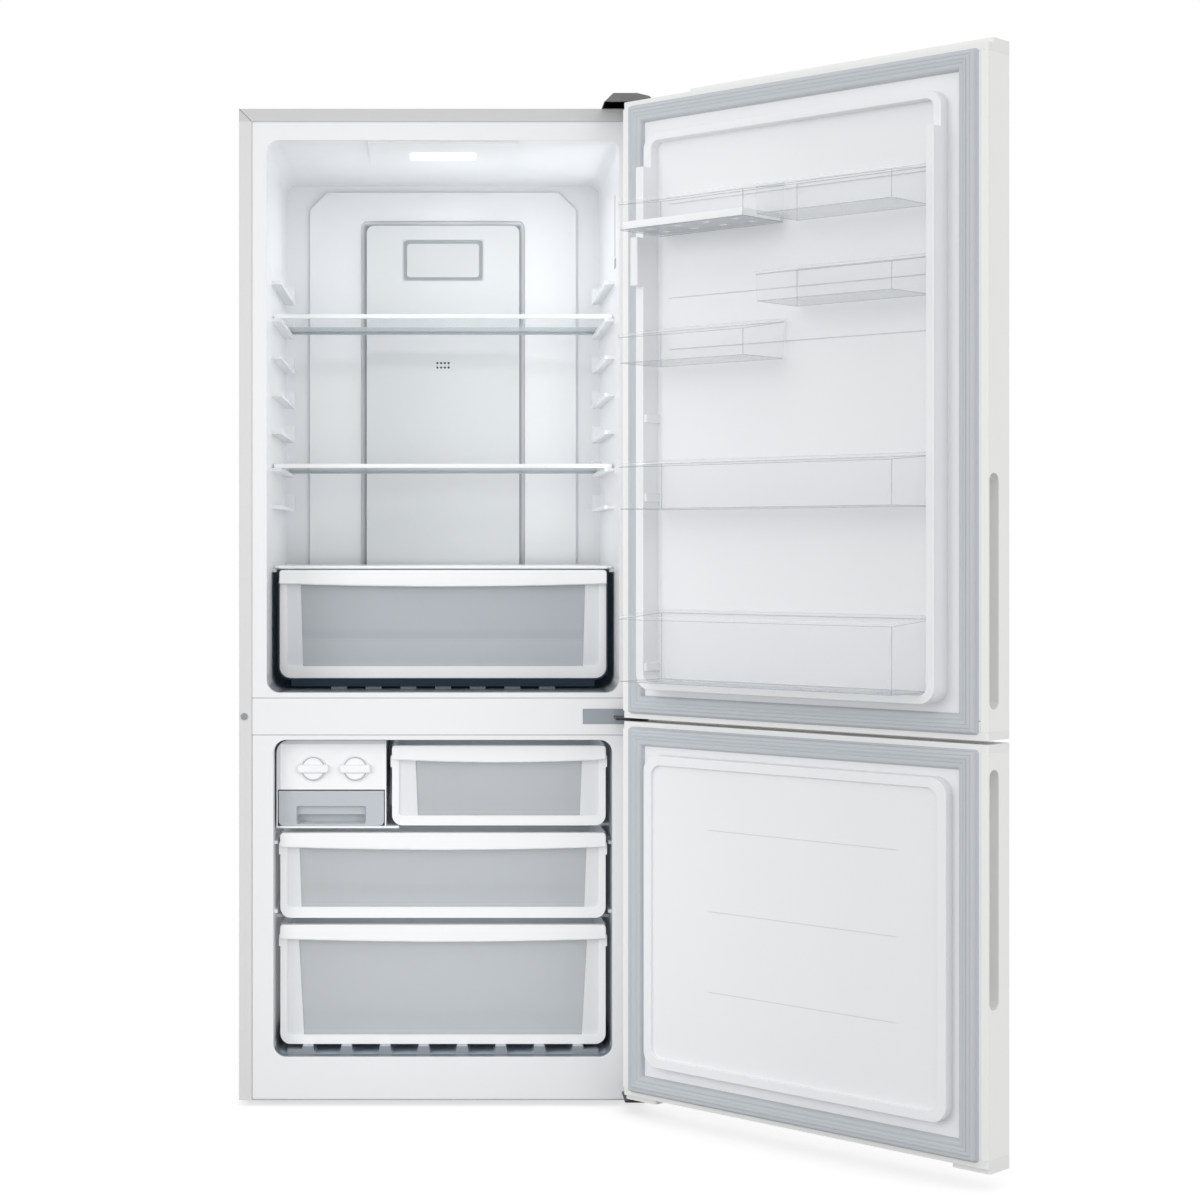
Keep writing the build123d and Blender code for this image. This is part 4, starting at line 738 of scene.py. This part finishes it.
def make_drawer(node, radius, pane, side_look, strip, lean_in):
    """A drawer body with leaning walls, and a misty window in front with a paler strip at each side."""
    low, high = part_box(node)
    wall = drawer_wall
    left, right, floor_z = low.x + wall, high.x - wall, low.z + wall
    _, window, side = range(3)

    def rear_of(inset):
        return lambda z: high.y - inset - drawer_draft * (high.z - z) / (high.z - low.z)

    work = bmesh.new()
    outer = [
        u_section(low.x, high.x, low.z, high.z, lambda z: low.y + 2 * strip_gap, radius, 0.0),
        u_section(low.x, high.x, low.z, high.z, lambda z: low.y + drawer_front_wall, radius, 0.0),
        u_section(low.x, high.x, low.z, high.z, rear_of(0.0), radius, drawer_draft),
    ]
    inner = [
        u_section(left, right, floor_z, high.z, lambda z: low.y + wall, radius - wall, 0.0),
        u_section(left, right, floor_z, high.z, rear_of(wall), radius - wall, drawer_draft),
    ]
    built = []
    for sections in (outer, inner):
        rows = [[work.verts.new(p) for p in row] for row in sections]
        for a, b in zip(rows, rows[1:]):
            for i in range(len(a) - 1):
                face = work.faces.new((a[i], a[i + 1], b[i + 1], b[i]))
                if i in (0, len(a) - 2):
                    face.material_index = side
        front = work.faces.new(rows[0])
        front.material_index = window
        work.faces.new(list(reversed(rows[-1])))
        built.append(rows)
    out_rows, in_rows = built
    work.faces.new((out_rows[0][0], in_rows[0][0], in_rows[0][-1], out_rows[0][-1]))
    work.faces.new((out_rows[-1][-1], in_rows[-1][-1], in_rows[-1][0], out_rows[-1][0]))
    for end in (0, -1):
        edge = [row[end] for row in out_rows] + [row[end] for row in reversed(in_rows)]
        work.faces.new(edge)
    head = high.z - strip_inset
    foot = low.z + wall + strip_inset
    for edge_x, turn in ((left, 1), (right, -1)):
        outline = [
            (edge_x, head),
            (edge_x + turn * strip, head),
            (edge_x + turn * (strip + lean_in), foot),
            (edge_x + turn * radius, foot),
            (edge_x, foot + radius),
        ]
        depths = (low.y, low.y + strip_gap)
        faces = [[work.verts.new((x, y, z)) for x, z in outline] for y in depths]
        pieces = [work.faces.new(list(reversed(faces[0]))), work.faces.new(faces[1])]
        for i in range(len(outline)):
            j = (i + 1) % len(outline)
            pieces.append(work.faces.new((faces[0][i], faces[0][j], faces[1][j], faces[1][i])))
        for face in pieces:
            face.material_index = side
    mesh = mesh_from(work, node + "_finish")
    smooth(mesh, moulded_crease)
    finish_node(node, mesh, [looks["smoked_plastic"], pane, side_look])


drawer_radius = 18.0 * mm
# the width of the strips at the top, and how much wider they are at the foot
make_drawer("crisper", drawer_radius, crisper_pane_look, crisper_side_look, 34.0 * mm, 5.0 * mm)
for node, strip, lean_in in (
    ("bottom_freezer_drawer", 28.0 * mm, 11.0 * mm),
    ("middle_freezer_drawer", 29.5 * mm, 5.0 * mm),
    ("top_freezer_drawer", 37.0 * mm, 5.5 * mm),
):
    make_drawer(node, drawer_radius, drawer_pane_look, drawer_side_look, strip, lean_in)

# ---------------------------------------------------------------- ice knobs
knob_groove = 1.3 * mm
knob_round = 0.6 * mm
knob_steps = 48
knob_foot = 1.0 * mm
knob_plate = 4.0 * mm
bar_half_height = 7.5 * mm
bar_corner = 5 * mm
# how far each ring of the bar steps in, sideways and in height
bar_steps = ((0.0, 0.0), (0.0, 0.0), (1.2 * mm, 1.2 * mm), (3.0 * mm, 2.4 * mm))


def make_knob(node):
    """A round plate with a dark ring round it and a wide finger bar across it."""
    low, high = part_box(node)
    middle = (low + high) / 2
    radius = (high.z - low.z) / 2
    back = high.y - knob_foot
    plate = back - knob_plate
    front = low.y

    def circle(reach, y):
        angles = [2 * math.pi * k / knob_steps for k in range(knob_steps)]
        return [(middle.x + reach * math.cos(a), y, middle.z + reach * math.sin(a)) for a in angles]

    work = bmesh.new()
    rings = [
        circle(radius, back),
        circle(radius, plate + knob_round),
        circle(radius - knob_round, plate),
        circle(radius - knob_round - knob_groove, plate),
        circle(radius - 0.9 * mm - knob_groove, plate + 0.5 * mm),
        circle(radius - 3.4 * mm, plate - 0.6 * mm),
    ]
    skin_rings(work, rings, True, True, looks_of=[0, 0, 1, 1, 0, 0, 0])
    half = (high.x - low.x) / 2
    tall = bar_half_height
    bar = [
        rounded_rect(
            middle.x - half + lead,
            middle.x + half - lead,
            middle.z - tall + trim,
            middle.z + tall - trim,
            bar_corner,
        )
        for lead, trim in bar_steps
    ]
    depths = (plate + 1.5 * mm, front + 3.2 * mm, front + 0.9 * mm, front)
    skin_rings(work, [[(x, y, z) for x, z in ring] for ring, y in zip(bar, depths)], True, True)
    mesh = mesh_from(work, node + "_finish")
    even_normals(mesh, moulded_crease)
    finish_node(node, mesh, [looks["white_plastic"], ring_look])


for node in ("left_ice_knob", "right_ice_knob"):
    make_knob(node)

# ---------------------------------------------------------------- mitres of the cabinet's flange
_, shell_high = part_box("cabinet_shell")
_, liner_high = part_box("fridge_liner")
mitre_half = 0.5 * mm
mitre_deep = 0.2 * mm
mitre_proud = 0.15 * mm
for side, name in ((-1, "left_flange_mitre"), (1, "right_flange_mitre")):
    outer = Vector((side * shell_high.x, shell_high.z))
    reach = shell_high.x - liner_high.x
    inner = Vector((side * (shell_high.x - reach), shell_high.z - reach))
    along = (outer - inner).normalized()
    across = Vector((-along.y, along.x)) * mitre_half
    start, end = inner + along * mm, outer - along * mm
    outline = [start - across, end - across, end + across, start + across]
    work = bmesh.new()
    rings = [
        [(corner.x, mitre_deep, corner.y) for corner in outline],
        [(corner.x, -mitre_proud, corner.y) for corner in outline],
    ]
    skin_rings(work, rings, True, True)
    add_piece(name, mesh_from(work, name), "root", [seam_look])

# ---------------------------------------------------------------- softened copies
# the width of each node's softened edges, in mm
edge_width = {
    "cabinet_shell": 0.4,
    "fridge_liner": 2.0,
    "freezer_liner": 2.0,
    "mullion_cover": 0.6,
    "air_duct_cover": 0.5,
    "upper_door_liner": 2.5,
    "upper_door_skin": 0.4,
    "lower_door_skin": 0.4,
    "upper_door_end_caps": 1.2,
    "lower_door_end_caps": 1.2,
    "upper_door_grip": 0.5,
    "lower_door_grip": 0.5,
    "upper_shelf_frame": 1.2,
    "lower_shelf_frame": 1.2,
    "crisper_cover": 1.5,
    "crisper_front": 1.0,
    "bottom_freezer_drawer_front": 1.0,
    "middle_freezer_drawer_front": 1.0,
    "top_freezer_drawer_front": 1.0,
    "ice_maker_housing": 1.2,
    "top_hinge_cover": 1.2,
    "middle_hinge": 0.6,
    "top_hinge": 0.6,
    "bottom_hinge": 0.6,
    "egg_tray": 1.0,
    "compressor": 0.6,
    "levelling_feet": 0.8,
    "evaporator_cover": 0.6,
    "base_plate": 0.3,
}
for node, width in edge_width.items():
    softened(node, width * mm)
softened("filter_cover", 1.5 * mm, plate_look)
softened("lower_door_liner", 2.5 * mm, lower_panel_look)
softened("ice_bin", 1.0 * mm, ice_bin_look)

# ---------------------------------------------------------------- stage and lamps
photo_size = 1200
photo_focal = 2353.0
photo_axis = (443.0, 548.0)
camera_distance = 4.030
camera_height = 0.9557
sensor = 36.0


def looked_at(tree):
    """1 for camera, glossy and transmission rays, 0 for all others."""
    path = tree.nodes.new("ShaderNodeLightPath")
    share = path.outputs["Is Camera Ray"]
    for ray in ("Is Glossy Ray", "Is Transmission Ray"):
        either = tree.nodes.new("ShaderNodeMath")
        either.operation = "MAXIMUM"
        tree.links.new(share, either.inputs[0])
        tree.links.new(path.outputs[ray], either.inputs[1])
        share = either.outputs[0]
    return share


def emissive_for_camera(name, camera_strength, base):
    """A matte surface that also shines towards the rays it is looked at with, and so looks white."""
    made = bpy.data.materials.new(name)
    made.use_nodes = True
    tree = made.node_tree
    tree.nodes.clear()
    output = tree.nodes.new("ShaderNodeOutputMaterial")
    strength = tree.nodes.new("ShaderNodeMath")
    strength.operation = "MULTIPLY"
    strength.inputs[1].default_value = camera_strength
    shine = tree.nodes.new("ShaderNodeEmission")
    matte = tree.nodes.new("ShaderNodeBsdfDiffuse")
    matte.inputs["Color"].default_value = (base, base, base, 1.0)
    both = tree.nodes.new("ShaderNodeAddShader")
    link = tree.links.new
    link(looked_at(tree), strength.inputs[0])
    link(strength.outputs[0], shine.inputs["Strength"])
    link(matte.outputs[0], both.inputs[0])
    link(shine.outputs[0], both.inputs[1])
    link(both.outputs[0], output.inputs["Surface"])
    return made


floor_half = 30.0
floor_gap = 0.5 * mm
floor_shine = 0.62
floor_grey = 0.50
floor_mesh = bpy.data.meshes.new("floor")
floor_mesh.from_pydata(
    [(x * floor_half, y * floor_half, 0) for x, y in ((-1, -1), (1, -1), (1, 1), (-1, 1))],
    [],
    [(0, 1, 2, 3)],
)
floor = bpy.data.objects.new("floor", floor_mesh)
floor.location.z = -floor_gap
bpy.context.scene.collection.objects.link(floor)
floor_mesh.materials.append(emissive_for_camera("floor", floor_shine, floor_grey))
floor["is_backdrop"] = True

world_level = 0.82
white = (1.0, 1.0, 1.0, 1.0)
world = bpy.data.worlds.new("studio")
bpy.context.scene.world = world
world.use_nodes = True
tree = world.node_tree
tree.nodes.clear()
seen = tree.nodes.new("ShaderNodeBackground")
lit = tree.nodes.new("ShaderNodeBackground")
seen.inputs["Color"].default_value = white
lit.inputs["Color"].default_value = white
lit.inputs["Strength"].default_value = world_level
pick = tree.nodes.new("ShaderNodeMixShader")
output = tree.nodes.new("ShaderNodeOutputWorld")
tree.links.new(looked_at(tree), pick.inputs["Fac"])
tree.links.new(lit.outputs[0], pick.inputs[1])
tree.links.new(seen.outputs[0], pick.inputs[2])
tree.links.new(pick.outputs[0], output.inputs["Surface"])


def soft_box(name, place, aim, width, height, power, glossy=True):
    """A rectangular lamp that the camera doesn't see, aimed at a point."""
    lamp = bpy.data.lights.new(name, "AREA")
    lamp.shape = "RECTANGLE"
    lamp.size = width
    lamp.size_y = height
    lamp.energy = power
    holder = bpy.data.objects.new(name, lamp)
    holder.location = place
    holder.rotation_euler = (Vector(aim) - Vector(place)).to_track_quat("-Z", "Y").to_euler()
    holder.visible_camera = False
    holder.visible_glossy = glossy
    bpy.context.scene.collection.objects.link(holder)


studio_size = 2.6
studio_lamps = (
    # name, place, what it is aimed at, power
    ("key_light", (-3.4, -3.6, 1.9), (0.2, 0.0, 0.9), 62.0),
    ("front_fill", (0.3, -5.0, 1.3), (0.1, 0.0, 0.9), 4.0),
    ("right_fill", (3.4, -3.4, 1.1), (0.5, 0.0, 0.9), 28.0),
)
for name, place, aim, power in studio_lamps:
    soft_box(name, place, aim, studio_size, studio_size, power)


def glow_ball(name, place, radius, power):
    """A soft ball of light that lifts the inside of a compartment evenly."""
    lamp = bpy.data.lights.new(name, "POINT")
    lamp.shadow_soft_size = radius
    lamp.energy = power
    holder = bpy.data.objects.new(name, lamp)
    holder.location = place
    holder.visible_camera = False
    holder.visible_glossy = False
    bpy.context.scene.collection.objects.link(holder)


fill_distance = 0.45
fill_width = 0.6
fill_height = 0.8
for name, node, power in (
    ("fridge_fill", "fridge_liner", 0.42),
    ("freezer_fill", "freezer_liner", 0.28),
):
    low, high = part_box(node)
    level = (low.z + high.z) / 2
    soft_box(
        name,
        (0.0, -fill_distance, level),
        (0.0, high.y, level),
        fill_width * (high.x - low.x),
        fill_height * (high.z - low.z),
        power,
    )

# a ball of light in each bay of the fridge, from the crisper's cover up
glow_radius = 0.06
bay_powers = (0.18, 0.18, 0.14)
fridge_low, fridge_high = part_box("fridge_liner")
fridge_middle = 0.42 * (fridge_low.y + fridge_high.y)
cover_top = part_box("crisper_cover")[1].z
shelf_tops = [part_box(n)[1].z for n in ("lower_shelf_frame", "upper_shelf_frame")]
bays = (cover_top, *shelf_tops, fridge_high.z)
for index, (floor_z, roof_z, power) in enumerate(zip(bays, bays[1:], bay_powers)):
    place = (0.0, fridge_middle, (floor_z + roof_z) / 2)
    glow_ball("fridge_glow_%d" % index, place, glow_radius, power)

# lamps towards the fridge's left wall and its ceiling: how far off, width, height, power
wall_lamp_inward = 12 * mm
wall_lamp_width = 0.38
wall_lamp_height = 0.68
wall_lamp_power = 0.62
wall_level = (cover_top + fridge_high.z) / 2
soft_box(
    "wall_fill",
    (fridge_wall - wall_lamp_inward, fridge_middle, wall_level),
    (-fridge_wall, fridge_middle, wall_level),
    wall_lamp_width,
    wall_lamp_height,
    wall_lamp_power,
    glossy=False,
)
ceiling_lamp_up = 30 * mm
ceiling_lamp_width = 0.5
ceiling_lamp_height = 0.36
ceiling_lamp_power = 0.18
soft_box(
    "ceiling_fill",
    (0.0, fridge_middle, shelf_tops[1] + ceiling_lamp_up),
    (0.0, fridge_middle, fridge_high.z),
    ceiling_lamp_width,
    ceiling_lamp_height,
    ceiling_lamp_power,
    glossy=False,
)

# lamps in the gaps beside the freezer drawers, towards the freezer's walls
gap_lamp_off = 2 * mm
gap_lamp_y = 0.16
gap_lamp_width = 0.24
gap_lamp_short = 0.04
gap_aim = 0.1
drawers_low, drawers_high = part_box("bottom_freezer_drawer_front")
level = (drawers_low.z + mullion_low.z) / 2
for side, power in ((-1, 0.035), (1, 0.015)):
    edge = side * (drawers_high.x + gap_lamp_off)
    soft_box(
        "gap_fill_%d" % side,
        (edge, gap_lamp_y, level),
        (edge + side * gap_aim, gap_lamp_y, level),
        gap_lamp_width,
        mullion_low.z - drawers_low.z - gap_lamp_short,
        power,
        glossy=False,
    )

# a lamp behind each drawer's window, towards its rear wall; its power goes with its area
drawer_lamp_width = 0.86
drawer_lamp_height = 0.62
drawer_lamp_drop = 0.06
drawer_lamp_behind = 8 * mm
for node, drawer_power in (
    ("crisper", 2.4),
    ("bottom_freezer_drawer", 2.2),
    ("middle_freezer_drawer", 4.6),
    ("top_freezer_drawer", 5.6),
):
    drawer_low, drawer_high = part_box(node)
    width = drawer_lamp_width * (drawer_high.x - drawer_low.x)
    height = drawer_lamp_height * (drawer_high.z - drawer_low.z)
    spot = (drawer_low + drawer_high) / 2
    spot.y = drawer_low.y + drawer_lamp_behind
    spot.z -= drawer_lamp_drop * (drawer_high.z - drawer_low.z)
    aim = Vector((spot.x, drawer_high.y, spot.z))
    soft_box(node + "_fill", spot, aim, width, height, drawer_power * width * height, glossy=False)

# the ceiling lamp
lens_gap = 2 * mm
cabin_power = 0.45
lens_low, lens_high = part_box("lamp_lens")
lens_middle = (lens_low + lens_high) / 2
soft_box(
    "cabin_light",
    (lens_middle.x, lens_middle.y, lens_low.z - lens_gap),
    (lens_middle.x, lens_middle.y, 0.0),
    lens_high.x - lens_low.x,
    lens_high.y - lens_low.y,
    cabin_power,
)

# ---------------------------------------------------------------- camera
camera_data = bpy.data.cameras.new("camera")
camera_data.sensor_width = sensor
camera_data.lens = photo_focal / photo_size * sensor
camera_data.shift_x = (photo_size / 2 - photo_axis[0]) / photo_size
camera_data.shift_y = (photo_axis[1] - photo_size / 2) / photo_size
camera = bpy.data.objects.new("camera", camera_data)
camera.location = (0.0, -camera_distance, camera_height)
camera.rotation_euler = (math.radians(90), 0.0, 0.0)
bpy.context.scene.collection.objects.link(camera)
bpy.context.scene.camera = camera
bpy.context.scene.view_settings.view_transform = "Standard"

low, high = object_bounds()
